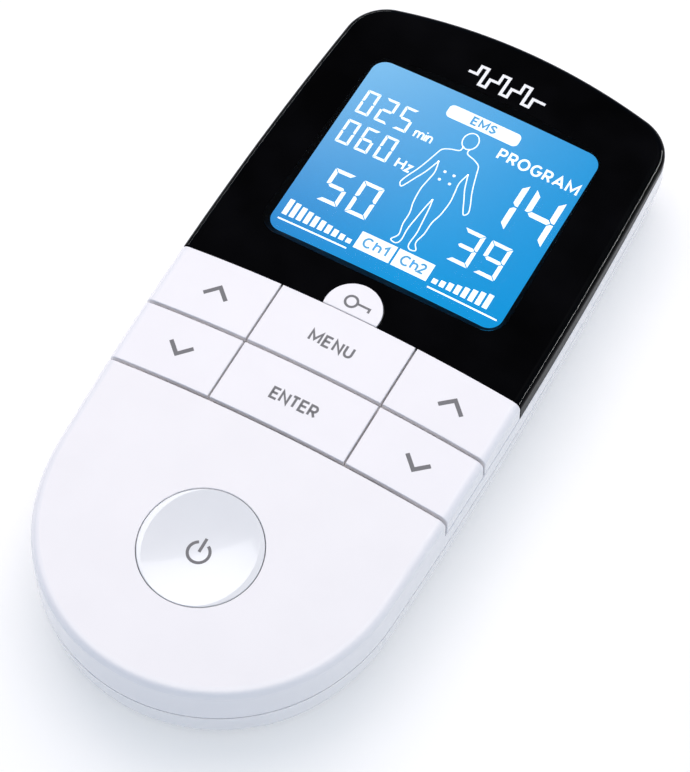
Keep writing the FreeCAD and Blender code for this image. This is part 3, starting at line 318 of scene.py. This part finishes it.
def optical_film():
    """Milky acrylic with the fine dots that spread the light."""
    finish = Finish("optical_film", (0.82, 0.86, 0.9), 0.35, Transmission_Weight=0.3)
    cells = finish.node("ShaderNodeTexVoronoi", Vector=finish.place, Scale=1 / (0.6 * MM))
    dots = cells.outputs["Distance"]
    finish.paint(finish.ramp(dots, (0.15, (0.9, 0.94, 0.98)), (0.3, (0.78, 0.82, 0.87))))
    finish.bump(dots, 0.2, 0.02)
    return finish.material


def floor_paper():
    """White paper that glows faintly, as a ground lit from below does."""
    finish = Finish("floor_paper", (0.66, 0.66, 0.66), 0.9, Specular_IOR_Level=0.1, Emission_Strength=0.3)
    finish.surface.inputs["Emission Color"].default_value = (1, 1, 1, 1)
    finish.paint(finish.ramp(finish.noise(40, 3), (0.3, (0.65, 0.65, 0.65)), (0.7, (0.67, 0.67, 0.67))))
    return finish.material


FINISHES = {
    "white_shell": white_gloss("white_shell", (0.885, 0.86, 0.865)),
    "white_keys": white_gloss("white_keys", (0.89, 0.865, 0.875)),
    "black_cover": black_gloss(),
    "clear_pane": clear_pane(),
    "lcd": backlit_glass_with_painted_reflection(),
    "optical_film": optical_film(),
    "frame_plastic": matt_plastic("frame_plastic", (0.78, 0.79, 0.8)),
    "board": circuit_board(),
    "silicone": silicone(),
    "black_plastic": matt_plastic("black_plastic", (0.02, 0.02, 0.022)),
    "bright_metal": bright_metal(),
    "ferrite": laminated_core(),
    "copper": copper_winding(),
    "cell_jacket": cell_jacket(),
    "can_sleeve": can_sleeve(),
}
POWER_WHITE = white_gloss("power_white", (0.74, 0.745, 0.76))
GREY_INK = ink("grey_ink", (0.19, 0.185, 0.19))
WHITE_INK = ink("white_ink", (0.85, 0.85, 0.85))
LIT_WHITE = lit("lit_white", (1.0, 1.0, 1.0), (0.9, 0.97, 1.0))
LIT_BLUE = lit("lit_blue", (0.1, 0.34, 0.58), (0.08, 0.31, 0.55))


def finish_frame():
    """Gives each node the finish of its slot in the record, and the power button a greyer white."""
    for subpart in frame["record"]["subparts"]:
        data = NODES[subpart["node"]].data
        data.materials.clear()
        data.materials.append(FINISHES[subpart["material_slot"]])
    NODES["power_button"].data.materials[0] = POWER_WHITE


# ---------------------------------------------------------------------------------------------
# Flat drawing, in millimetres: lines are lists of points, and shapes are lists of polygons.

ARC_STEP = math.radians(10)
CURVE_STEPS = 6
# The least cosine that a mitre divides by, so that a sharp corner isn't drawn out to a spike.
LEAST_MITRE = 0.4
WELD_DISTANCE = 0.002
# The gap between a digit's segments, as a share of their stroke.
SEGMENT_GAP = 0.16
# Ink is sunk into the face under it and stands above it; short edges let it follow curved faces.
INK_THICKNESS = 0.02
INK_SINK = 0.02
INK_EDGE = 0.9
INK_CUTS = 4


def arc(x, y, radius, start, end):
    """Points along an arc, angles in degrees from +X."""
    span = math.radians(end - start)
    steps = max(2, math.ceil(abs(span) / ARC_STEP))
    angles = [math.radians(start) + span * step / steps for step in range(steps + 1)]
    return [(x + radius * math.cos(angle), y + radius * math.sin(angle)) for angle in angles]


def bend(low_x, low_y, high_x, high_y, start, end):
    """Points along an elliptical arc that fills a box, angles in degrees from +X."""
    middle_x, middle_y = (low_x + high_x) / 2, (low_y + high_y) / 2
    half_x, half_y = (high_x - low_x) / 2, (high_y - low_y) / 2
    return [(middle_x + px * half_x, middle_y + py * half_y) for px, py in arc(0, 0, 1, start, end)]


def rectangle(low_x, low_y, high_x, high_y):
    """A plain filled box."""
    return [[(low_x, low_y), (high_x, low_y), (high_x, high_y), (low_x, high_y)]]


def pill(low_x, low_y, high_x, high_y, radius):
    """A filled box with rounded corners."""
    corners = (
        (high_x - radius, high_y - radius, 0),
        (low_x + radius, high_y - radius, 90),
        (low_x + radius, low_y + radius, 180),
        (high_x - radius, low_y + radius, 270),
    )
    return [[point for x, y, turn in corners for point in arc(x, y, radius, turn, turn + 90)]]


def disc(x, y, radius):
    """A filled circle."""
    return [arc(x, y, radius, 0, 360)[:-1]]


def ribbon(points, width, closed=False):
    """Quads along a line, mitred at its corners."""
    places = [Vector(point) for point in points]
    count = len(places)
    sides = []
    for index, here in enumerate(places):
        before = places[index - 1] if closed or index else here
        after = places[(index + 1) % count] if closed or index < count - 1 else here
        into = (here - before).normalized() if here != before else (after - here).normalized()
        onward = (after - here).normalized() if here != after else into
        across = Vector((-(into + onward).y, (into + onward).x)).normalized()
        reach = width / 2 / max(LEAST_MITRE, across.dot(Vector((-into.y, into.x))))
        sides.append((here + across * reach, here - across * reach))
    pairs = list(zip(sides, sides[1:])) + ([(sides[-1], sides[0])] if closed else [])
    return [[tuple(a[0]), tuple(a[1]), tuple(b[1]), tuple(b[0])] for a, b in pairs]


def smooth(points):
    """A Catmull-Rom curve through the points."""
    places = [Vector(point) for point in points]
    padded = [places[0] * 2 - places[1], *places, places[-1] * 2 - places[-2]]
    curve = []
    for a, b, c, d in zip(padded, padded[1:], padded[2:], padded[3:]):
        slope = c - a
        sag = a * 2 - b * 5 + c * 4 - d
        twist = b * 3 - a - c * 3 + d
        for step in range(CURVE_STEPS):
            part = step / CURVE_STEPS
            curve.append((b * 2 + slope * part + sag * part**2 + twist * part**3) / 2)
    return [tuple(point) for point in curve] + [tuple(places[-1])]


def shifted(polygons, x, y):
    """The polygons moved aside."""
    return [[(px + x, py + y) for px, py in polygon] for polygon in polygons]


SEGMENTS_LIT = {
    "0": "abcdef",
    "1": "bc",
    "2": "abged",
    "3": "abgcd",
    "4": "fgbc",
    "5": "afgcd",
    "6": "afgcde",
    "9": "abcdfg",
}


def digit(character, width, height, stroke):
    """A seven-segment digit with mitred ends and a hairline between its segments."""
    gap = stroke * SEGMENT_GAP
    half = stroke / 2
    middle = height / 2
    upper = [
        (gap, height),
        (width - gap, height),
        (width - stroke - gap, height - stroke),
        (stroke + gap, height - stroke),
    ]
    side = [
        (width, height - gap),
        (width, middle + gap),
        (width - half, middle + gap),
        (width - stroke, middle + half + gap),
        (width - stroke, height - stroke - gap),
    ]
    bar = [
        (half + gap, middle),
        (stroke + gap, middle + half),
        (width - stroke - gap, middle + half),
        (width - half - gap, middle),
        (width - stroke - gap, middle - half),
        (stroke + gap, middle - half),
    ]

    def flipped(polygon, over_x, over_y):
        return [(width - x if over_x else x, height - y if over_y else y) for x, y in polygon]

    shapes = {
        "a": upper,
        "b": side,
        "c": flipped(side, False, True),
        "d": flipped(upper, False, True),
        "e": flipped(side, True, True),
        "f": flipped(side, True, False),
        "g": bar,
    }
    return [shapes[segment] for segment in SEGMENTS_LIT[character]]


def number(text, x, y, pitch, width, height, stroke):
    """Digits in a row, a pitch apart, whose low corner is at x, y."""
    polygons = []
    for place, character in enumerate(text):
        polygons += shifted(digit(character, width, height, stroke), x + place * pitch, y)
    return polygons


def polygon_mesh(polygons):
    """A flat bmesh of the polygons, its touching quads joined."""
    made = bmesh.new()
    for polygon in polygons:
        made.faces.new([made.verts.new((x * MM, y * MM, 0)) for x, y in polygon])
    bmesh.ops.remove_doubles(made, verts=made.verts, dist=WELD_DISTANCE * MM)
    return made


# Plain stroke letters: each has its width over its height, then its strokes in a box of one by one.
BOWL = [(0, 1), (0.6, 1), *bend(0.2, 0.45, 1, 1, 80, -80), (0.6, 0.45), (0, 0.45)]
S_CURVE = [(0.98, 0.84), (0.55, 1), (0.05, 0.76), (0.5, 0.52), (0.97, 0.26), (0.45, 0), (0, 0.16)]
FIRST_ARCH = [(0, 0.45), *bend(0, 0.3, 0.5, 0.7, 140, 0), (0.5, 0)]
SECOND_ARCH = [(0.5, 0.45), *bend(0.5, 0.3, 1, 0.7, 140, 0), (1, 0)]
LETTERS = {
    "A": (0.86, [(0, 0), (0.5, 1), (1, 0)], [(0.17, 0.3), (0.83, 0.3)]),
    "C": (0.84, bend(0, 0, 1.05, 1, 48, 312)),
    "E": (0.6, [(1, 1), (0, 1), (0, 0), (1, 0)], [(0, 0.52), (0.88, 0.52)]),
    "G": (0.8, [*bend(0, 0, 1, 1, 50, 330), (1, 0.48), (0.6, 0.48)]),
    "H": (0.72, [(0, 0), (0, 1)], [(1, 0), (1, 1)], [(0, 0.52), (1, 0.52)]),
    "M": (0.95, [(0, 0), (0, 1), (0.5, 0.22), (1, 1), (1, 0)]),
    "N": (0.68, [(0, 0), (0, 1), (1, 0), (1, 1)]),
    "O": (0.86, bend(0, 0, 1, 1, 0, 360)),
    "P": (0.58, [(0, 0), *BOWL]),
    "R": (0.6, [(0, 0), *BOWL], [(0.5, 0.45), (1, 0)]),
    "S": (0.64, smooth(S_CURVE)),
    "T": (0.6, [(0, 1), (1, 1)], [(0.5, 1), (0.5, 0)]),
    "U": (0.66, [(0, 1), *bend(0, 0, 1, 0.7, 180, 360), (1, 1)]),
    "h": (0.6, [(0, 0), (0, 1)], [(0, 0.4), *bend(0, 0.25, 1, 0.7, 150, 0), (1, 0)]),
    "i": (0.001, [(0, 0), (0, 0.7)], [(0, 0.9), (0, 1.02)]),
    "m": (0.86, [(0, 0), (0, 0.7)], FIRST_ARCH, SECOND_ARCH),
    "n": (0.44, [(0, 0), (0, 0.7)], [(0, 0.45), *bend(0, 0.3, 1, 0.7, 140, 0), (1, 0)]),
    "z": (0.4, [(0, 0.7), (1, 0.7), (0, 0), (1, 0)]),
    "1": (0.36, [(0, 0.72), (1, 1), (1, 0)]),
    "2": (0.52, [*bend(0, 0.48, 1, 1, 160, -25), (0, 0), (1, 0)]),
}


def lettering(text, x, y, width, height, stroke):
    """A word in stroke letters that fills a box whose low corner is at x, y."""
    tall = height - stroke
    advance = [LETTERS[character][0] * tall for character in text]
    space = (width - stroke - sum(advance)) / (len(text) - 1)
    polygons = []
    pen = x + stroke / 2
    for character, wide in zip(text, advance):
        for points in LETTERS[character][1:]:
            placed = [(pen + px * wide, y + stroke / 2 + py * tall) for px, py in points]
            closed = math.dist(placed[0], placed[-1]) < stroke / 10
            polygons += ribbon(placed[:-1] if closed else placed, stroke, closed)
        pen += wide + space
    return polygons


def joined(*parts):
    """One bmesh of several, which are used up."""
    whole = bmesh.new()
    for part in parts:
        holder = bpy.data.meshes.new("part")
        part.to_mesh(holder)
        whole.from_mesh(holder)
        bpy.data.meshes.remove(holder)
        part.free()
    return whole


def cut_finer(flat):
    """Divides a flat drawing until no edge is longer than the ink may span."""
    bmesh.ops.triangulate(flat, faces=flat.faces)
    for _ in range(INK_CUTS):
        long_edges = [edge for edge in flat.edges if edge.calc_length() > INK_EDGE * MM]
        if not long_edges:
            break
        bmesh.ops.subdivide_edges(flat, edges=long_edges, cuts=1)
        bmesh.ops.triangulate(flat, faces=flat.faces)


def drop_onto(flat, node):
    """Lowers each point of a flat drawing to just under the top of a node."""
    data = NODES[node].data
    corners = [vertex.co for vertex in data.vertices]
    tree = BVHTree.FromPolygons(corners, [tuple(face.vertices) for face in data.polygons])
    above = CAD_BOX[1][2] + 1 * MM
    for vertex in flat.verts:
        hit = tree.ray_cast(Vector((vertex.co.x, vertex.co.y, above)), Vector((0, 0, -1)))[0]
        vertex.co.z = hit.z - INK_SINK * MM


def thicken(flat):
    """Closes a sheet of ink into a thin layer whose top stands above the face under it."""
    sheet = list(flat.faces)
    for face in sheet:
        if face.normal.z > 0:
            face.normal_flip()
    raised = bmesh.ops.extrude_face_region(flat, geom=sheet)["geom"]
    for item in raised:
        if isinstance(item, bmesh.types.BMVert):
            item.co.z += (INK_SINK + INK_THICKNESS) * MM
    bmesh.ops.recalc_face_normals(flat, faces=flat.faces)


def print_on(name, flat, node, body, finish, lift=0.0):
    """Lays a flat drawing on the top of a node as a thin layer of ink, and lifts it if asked."""
    cut_finer(flat)
    drop_onto(flat, node)
    thicken(flat)
    data = bpy.data.meshes.new(name)
    flat.to_mesh(data)
    flat.free()
    for vertex in data.vertices:
        vertex.co.z += lift * MM
    data.materials.append(finish)
    piece = bpy.data.objects.new(name, data)
    bpy.context.scene.collection.objects.link(piece)
    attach(piece, body)


# ---------------------------------------------------------------------------------------------
# Marks printed on the keys and the cover, in millimetres and degrees.

CHEVRON_IN = 9.1
CHEVRON_NUDGE = 0.55
CHEVRON_DROP = 0.15
CHEVRON_HALF = 2.1
CHEVRON_RISE = 2.0
CHEVRON_STROKE = 0.72

KEY_WORDS = (("menu_key", "MENU", 8.0), ("enter_key", "ENTER", 8.4))
LETTER_HEIGHT = 2.3
LETTER_STROKE = 0.42
KEY_WORD_NUDGE = 0.25
KEY_WORD_DROP = 0.35

LOCK_MARK_FROM_EDGE = 2.2
LOCK_RING_LEFT = 0.85
LOCK_RING_RADIUS = 1.05
LOCK_RING_STROKE = 0.42
LOCK_SHAFT_START = 0.35
LOCK_SHAFT_END = 2.5
LOCK_SHAFT_UP = 0.05
LOCK_TOOTH_DOWN = 0.7
LOCK_SHAFT_STROKE = 0.4

POWER_RING_RADIUS = 1.78
POWER_RING_DROP = 0.6
POWER_RING_OPENING = 56
POWER_BAR_LOW = -0.5
POWER_BAR_HIGH = 2.0
POWER_STROKE = 0.5

PULSES = 3
PULSE_NUDGE = 0.9
PULSE_FROM_END = 9.3
PULSE_ROW_HALF = 7.3
PULSE_LEAD = 1.6
PULSE_WIDTH = 1.25
PULSE_HEIGHT = 1.9
PULSE_STROKE = 0.55


def middle_of(node):
    """The middle of a node seen from above."""
    low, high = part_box(node)
    return ((low[0] + high[0]) / 2 / MM, (low[1] + high[1]) / 2 / MM)


def chevron(node, side, upward):
    """An arrowhead on an outer key; side is -1 on the left and 1 on the right."""
    low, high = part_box(node)
    key_inner = (high[0] if side < 0 else low[0]) / MM
    middle_x = key_inner + side * CHEVRON_IN + CHEVRON_NUDGE
    middle_y = middle_of(node)[1] - CHEVRON_DROP
    rise = CHEVRON_RISE / 2 * (1 if upward else -1)
    points = [
        (middle_x - CHEVRON_HALF, middle_y - rise),
        (middle_x, middle_y + rise),
        (middle_x + CHEVRON_HALF, middle_y - rise),
    ]
    return polygon_mesh(ribbon(points, CHEVRON_STROKE))


def key_word(node, text, width):
    """A word in the middle of a key."""
    x, y = middle_of(node)
    low_x = x + KEY_WORD_NUDGE - width / 2
    low_y = y - LETTER_HEIGHT / 2 - KEY_WORD_DROP
    return polygon_mesh(lettering(text, low_x, low_y, width, LETTER_HEIGHT, LETTER_STROKE))


def lock_mark():
    """A little key: a ring, a shaft and one tooth."""
    x = middle_of("lock_key")[0]
    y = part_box("lock_key")[0][1] / MM + LOCK_MARK_FROM_EDGE
    shaft_y = y + LOCK_SHAFT_UP
    end_x = x + LOCK_SHAFT_END
    ring = ribbon(arc(x - LOCK_RING_LEFT, y, LOCK_RING_RADIUS, 0, 350), LOCK_RING_STROKE, closed=True)
    shaft = [(x + LOCK_SHAFT_START, shaft_y), (end_x, shaft_y), (end_x, y - LOCK_TOOTH_DOWN)]
    return polygon_mesh(ring + ribbon(shaft, LOCK_SHAFT_STROKE))


def power_mark():
    """The usual standby mark: an open ring and a bar through the opening."""
    x, y = middle_of("power_button")
    start = 90 + POWER_RING_OPENING / 2
    end = start + 360 - POWER_RING_OPENING
    ring = ribbon(arc(x, y - POWER_RING_DROP, POWER_RING_RADIUS, start, end), POWER_STROKE)
    bar = ribbon([(x, y + POWER_BAR_LOW), (x, y + POWER_BAR_HIGH)], POWER_STROKE)
    return polygon_mesh(ring + bar)


def pulse_mark():
    """A row of two-way current pulses on the cover above the display."""
    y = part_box("display_cover")[1][1] / MM - PULSE_FROM_END
    row_start = PULSE_NUDGE - PULSE_ROW_HALF
    points = [(row_start, y)]
    for place in range(PULSES):
        start = row_start + PULSE_LEAD + place * (PULSE_LEAD + PULSE_WIDTH * 2)
        points += [
            (start, y),
            (start, y + PULSE_HEIGHT),
            (start + PULSE_WIDTH, y + PULSE_HEIGHT),
            (start + PULSE_WIDTH, y - PULSE_HEIGHT),
            (start + PULSE_WIDTH * 2, y - PULSE_HEIGHT),
            (start + PULSE_WIDTH * 2, y),
        ]
    points.append((PULSE_NUDGE + PULSE_ROW_HALF, y))
    return polygon_mesh(ribbon(points, PULSE_STROKE))


def print_marks():
    """Each mark rides with the key that it is printed on."""
    marks = {}
    for side, hand in ((-1, "left"), (1, "right")):
        for upward, way in ((True, "up"), (False, "down")):
            node = f"{hand}_{way}_key"
            marks[node] = chevron(node, side, upward)
    for node, text, width in KEY_WORDS:
        marks[node] = key_word(node, text, width)
    marks["lock_key"] = lock_mark()
    marks["power_button"] = power_mark()
    for node, mark in marks.items():
        print_on(f"{node}_mark", mark, node, node, GREY_INK)
    print_on("pulse_mark", pulse_mark(), "display_cover", "housing", WHITE_INK)


# ---------------------------------------------------------------------------------------------
# What the display shows, in millimetres from the middle of its window.

SMALL_DIGIT = {"width": 2.5, "height": 5.15, "stroke": 0.48}
LEVEL_DIGIT = {"width": 3.85, "height": 7.0, "stroke": 0.7}
PROGRAM_DIGIT = {"width": 5.45, "height": 10.0, "stroke": 1.0}
LEFT_COLUMN = -19.6
FIRST_ROW = 8.15
SECOND_ROW = 1.25
LEVEL_ROW = -10.5
BAR_ROW = -15.75
TAG_ROW = -16.0

# Each reading: its digits, its low corner, the pitch of its digits and their style.
READINGS = (
    ("025", LEFT_COLUMN, FIRST_ROW, 3.6, SMALL_DIGIT),
    ("060", LEFT_COLUMN, SECOND_ROW, 3.6, SMALL_DIGIT),
    ("50", -16.5, LEVEL_ROW, 5.35, LEVEL_DIGIT),
    ("39", 7.8, LEVEL_ROW, 5.0, LEVEL_DIGIT),
    ("14", 7.9, -0.9, 6.8, PROGRAM_DIGIT),
)

# Each word: its letters, its low corner, its width and height, and its stroke.
LIT_WORDS = (
    ("min", -8.6, FIRST_ROW, 3.4, 2.1, 0.3),
    ("Hz", -8.4, SECOND_ROW, 3.0, 2.2, 0.36),
    ("PROGRAM", 5.6, 11.05, 15.1, 2.4, 0.4),
)
TAG_WORDS = (
    ("EMS", -1.4, 15.1, 4.7, 1.85, 0.36),
    ("Ch1", -5.5, TAG_ROW + 0.75, 4.6, 2.1, 0.37),
    ("Ch2", 1.45, TAG_ROW + 0.75, 4.6, 2.1, 0.37),
)
MODE_TAG = (-5.9, 14.65, 7.6, 17.35, 0.9)
CHANNEL_TAGS = ((-6.5, TAG_ROW, 0.05, -12.5), (0.45, TAG_ROW, 7.0, -12.5))

# Each bar graph: its left end, its count of bars, the first one's height and the rise from bar
# to bar, then the ends of its base line.
BAR_GRAPHS = ((-20.1, 10, 3.25, -0.26, -20.2, -7.3), (7.85, 8, 0.95, 0.28, 7.7, 20.5))
BAR_PITCH = 1.33
BAR_WIDTH = 0.9
BASE_LINE = (-16.9, -16.6)

# The standing figure: the outline of one side from the neck over the arm to the armpit, and from
# there down the leg, both out from the middle and up from the window's middle.
FIGURE_NUDGE = 0.5
FIGURE_STROKE = 0.2
HEAD_UP = 12.0
HEAD_HALF_WIDTH = 1.35
HEAD_HALF_HEIGHT = 1.75
HEAD_TURNS = [math.radians(step * 15) for step in range(24)]
PAD_PLACES = ((-0.85, 4.5), (0.85, 4.5), (-0.95, 2.7), (0.95, 2.7))
PAD_RADIUS = 0.26
ARM_SIDE = (
    (0.55, 10.5),
    (0.75, 9.5),
    (2.3, 8.95),
    (3.45, 8.2),
    (3.95, 6.6),
    (4.5, 4.6),
    (5.15, 2.6),
    (6.0, 0.5),
    (6.35, -0.9),
    (5.85, -1.6),
    (5.3, -0.7),
    (4.55, 1.0),
    (3.65, 3.0),
    (2.75, 5.9),
)
LEG_SIDE = (
    (2.75, 5.9),
    (2.3, 3.6),
    (2.55, 1.4),
    (2.75, -0.6),
    (2.55, -3.4),
    (2.05, -5.6),
    (2.0, -8.0),
    (1.6, -10.2),
    (2.3, -11.6),
    (1.3, -11.9),
    (0.75, -11.0),
    (0.85, -8.5),
    (0.6, -5.8),
    (0.3, -3.0),
    (0.0, -1.4),
)


def bar_graph(left, count, first, rise, line_start, line_end):
    """Bars that rise or fall evenly, over a base line."""
    bars = []
    for place in range(count):
        start = left + place * BAR_PITCH
        bars += rectangle(start, BAR_ROW, start + BAR_WIDTH, BAR_ROW + (first + rise * place))
    return bars + rectangle(line_start, BASE_LINE[0], line_end, BASE_LINE[1])


def body_outline():
    """A plain standing figure, one side drawn and mirrored, with four pads on its trunk."""
    lines = []
    for side in (-1, 1):
        for part in (ARM_SIDE, LEG_SIDE):
            half = [(FIGURE_NUDGE + side * out, up) for out, up in smooth(part)]
            lines += ribbon(half, FIGURE_STROKE)
    around = [
        (FIGURE_NUDGE + HEAD_HALF_WIDTH * math.cos(turn), HEAD_UP + HEAD_HALF_HEIGHT * math.sin(turn))
        for turn in HEAD_TURNS
    ]
    head = ribbon(around, FIGURE_STROKE, closed=True)
    pads = [polygon for out, up in PAD_PLACES for polygon in disc(FIGURE_NUDGE + out, up, PAD_RADIUS)]
    return lines + head + pads


def display_content():
    """Everything lit on the display, as flat meshes about the window's middle."""
    numbers = []
    for text, x, y, pitch, style in READINGS:
        numbers += number(text, x, y, pitch, **style)
    graphs = [polygon for graph in BAR_GRAPHS for polygon in bar_graph(*graph)]
    words = [polygon for word in LIT_WORDS for polygon in lettering(*word)]
    tags = pill(*MODE_TAG) + [polygon for tag in CHANNEL_TAGS for polygon in rectangle(*tag)]
    return joined(*(polygon_mesh(part) for part in (numbers, graphs, words, body_outline(), tags)))


def tag_words():
    """The dark words on the three lit tags."""
    return polygon_mesh([polygon for word in TAG_WORDS for polygon in lettering(*word)])


def show_display():
    """Puts the lit segments on the glass, and the tags' dark words half a layer higher, over the tags."""
    low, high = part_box("display_window")
    middle = Matrix.Translation(Vector(((low[0] + high[0]) / 2, (low[1] + high[1]) / 2, 0)))
    content = display_content()
    content.transform(middle)
    print_on("display_content", content, "lcd_glass", "housing", LIT_WHITE)
    words = tag_words()
    words.transform(middle)
    print_on("display_tag_words", words, "lcd_glass", "housing", LIT_BLUE, INK_THICKNESS / 2)


# ---------------------------------------------------------------------------------------------
# Camera, floor and light.

# The viewing angle: azimuth 0 looks along +Y, and a positive azimuth comes from the right.
VIEW_AZIMUTH = math.radians(29.44)
VIEW_ELEVATION = math.radians(60.18)
VIEW_ROLL = math.radians(-0.3)
VIEW_DISTANCE = 0.4987
VIEW_LENS_MM = 146.0
VIEW_SENSOR_MM = 36
VIEW_TARGET = Vector((5.86, -7.54, 20.8)) * MM

FLOOR_HALF = 4.0
FLOOR_GAP = 0.02 * MM

SKY_STRENGTH = 1.4
# Each shade: the way it lies, where it begins and is full as a cosine from there, and its colour.
SKY_SHADES = (
    ((0, 0, -1), -0.88, -0.55, (0.0, 0.1, 0.24)),
    ((1, 0.1, 0.2), 0.55, 0.95, (0.3, 0.38, 0.48)),
    ((-0.244, 0.433, 0.867), 0.8, 0.93, (0.04, 0.04, 0.045)),
    ((0, 0, -1), 0.05, 0.3, (0.75, 0.76, 0.78)),
)
KEY_PLACE = (-0.3, 0.5, 1.0)
KEY_SIZE = 1.2
KEY_POWER = 12.8
KEY_COLOR = (1.0, 0.92, 0.9)
# Each light that only shows as a reflection: where it is, its width, length and power, and the
# node that it is kept to. Two strips draw the cover's edges and one brightens the dished button.
REFLECTIONS = {
    "right_strip": ((0.78, 0.38, 0.1), 1.2, 0.02, 30.0, "display_cover"),
    "left_strip": ((-0.8, 0.4, 0.25), 1.2, 0.02, 8.0, "display_cover"),
    "dish_light": ((-0.39, 0.43, 0.81), 0.5, 0.5, 3.0, "power_button"),
}


def add_camera():
    """Looks at the target from the viewing angle."""
    level = math.cos(VIEW_ELEVATION)
    sideways = math.sin(VIEW_AZIMUTH) * level
    forward = -math.cos(VIEW_AZIMUTH) * level
    back = Vector((sideways, forward, math.sin(VIEW_ELEVATION)))
    data = bpy.data.cameras.new("camera")
    data.lens = VIEW_LENS_MM
    data.sensor_width = VIEW_SENSOR_MM
    camera = bpy.data.objects.new("camera", data)
    bpy.context.scene.collection.objects.link(camera)
    turn = back.to_track_quat("Z", "Y").to_matrix().to_4x4()
    roll = Matrix.Rotation(VIEW_ROLL, 4, "Z")
    camera.matrix_world = Matrix.Translation(VIEW_TARGET + back * VIEW_DISTANCE) @ turn @ roll
    bpy.context.scene.camera = camera


def add_floor():
    """A wide floor, a hair below the flat back so that the two faces don't coincide."""
    corners = [
        (x * FLOOR_HALF, y * FLOOR_HALF, -FLOOR_GAP) for x, y in ((-1, -1), (1, -1), (1, 1), (-1, 1))
    ]
    data = bpy.data.meshes.new("floor")
    data.from_pydata(corners, [], [(0, 1, 2, 3)])
    data.materials.append(floor_paper())
    floor = bpy.data.objects.new("floor", data)
    bpy.context.scene.collection.objects.link(floor)


def add_softbox(name, place, width, length, power):
    """An area light turned to the middle of the frame."""
    data = bpy.data.lights.new(name, "AREA")
    data.shape = "RECTANGLE"
    data.size = width
    data.size_y = length
    data.energy = power
    light = bpy.data.objects.new(name, data)
    light.location = place
    light.rotation_euler = Vector(place).to_track_quat("Z", "Y").to_euler()
    bpy.context.scene.collection.objects.link(light)
    return light


def add_lights():
    """The key light shades and leaves no reflection; the others do the opposite."""
    key = add_softbox("key_light", KEY_PLACE, KEY_SIZE, KEY_SIZE, KEY_POWER)
    key.data.color = KEY_COLOR
    key.visible_glossy = False
    key.visible_transmission = False
    for name, (place, width, length, power, node) in REFLECTIONS.items():
        light = add_softbox(name, place, width, length, power)
        light.visible_diffuse = False
        receivers = bpy.data.collections.new(f"{name}_receivers")
        receivers.objects.link(NODES[node])
        light.light_linking.receiver_collection = receivers


def add_sky():
    """White overhead and deep blue lower, paler at the right and below, dark where the top mirrors it."""
    world = bpy.data.worlds.new("room")
    world.use_nodes = True
    tree = world.node_tree
    background = tree.nodes["Background"]
    background.inputs["Strength"].default_value = SKY_STRENGTH
    outward = tree.nodes.new("ShaderNodeTexCoord").outputs["Generated"]
    color = None
    for direction, start, end, shade in SKY_SHADES:
        toward = tree.nodes.new("ShaderNodeVectorMath")
        toward.operation = "DOT_PRODUCT"
        tree.links.new(outward, toward.inputs[0])
        toward.inputs[1].default_value = Vector(direction).normalized()
        spread = tree.nodes.new("ShaderNodeMapRange")
        spread.interpolation_type = "SMOOTHSTEP"
        tree.links.new(toward.outputs["Value"], spread.inputs["Value"])
        spread.inputs["From Min"].default_value = start
        spread.inputs["From Max"].default_value = end
        mix = tree.nodes.new("ShaderNodeMix")
        mix.data_type = "RGBA"
        tree.links.new(spread.outputs[0], mix.inputs["Factor"])
        mix.inputs["A"].default_value = (1.0, 1.0, 1.0, 1)
        if color:
            tree.links.new(color, mix.inputs["A"])
        mix.inputs["B"].default_value = (*shade, 1)
        color = mix.outputs["Result"]
    tree.links.new(color, background.inputs["Color"])
    bpy.context.scene.world = world


finish_frame()
print_marks()
show_display()
add_floor()
add_lights()
add_sky()
add_camera()
bpy.context.scene.view_settings.view_transform = "Standard"
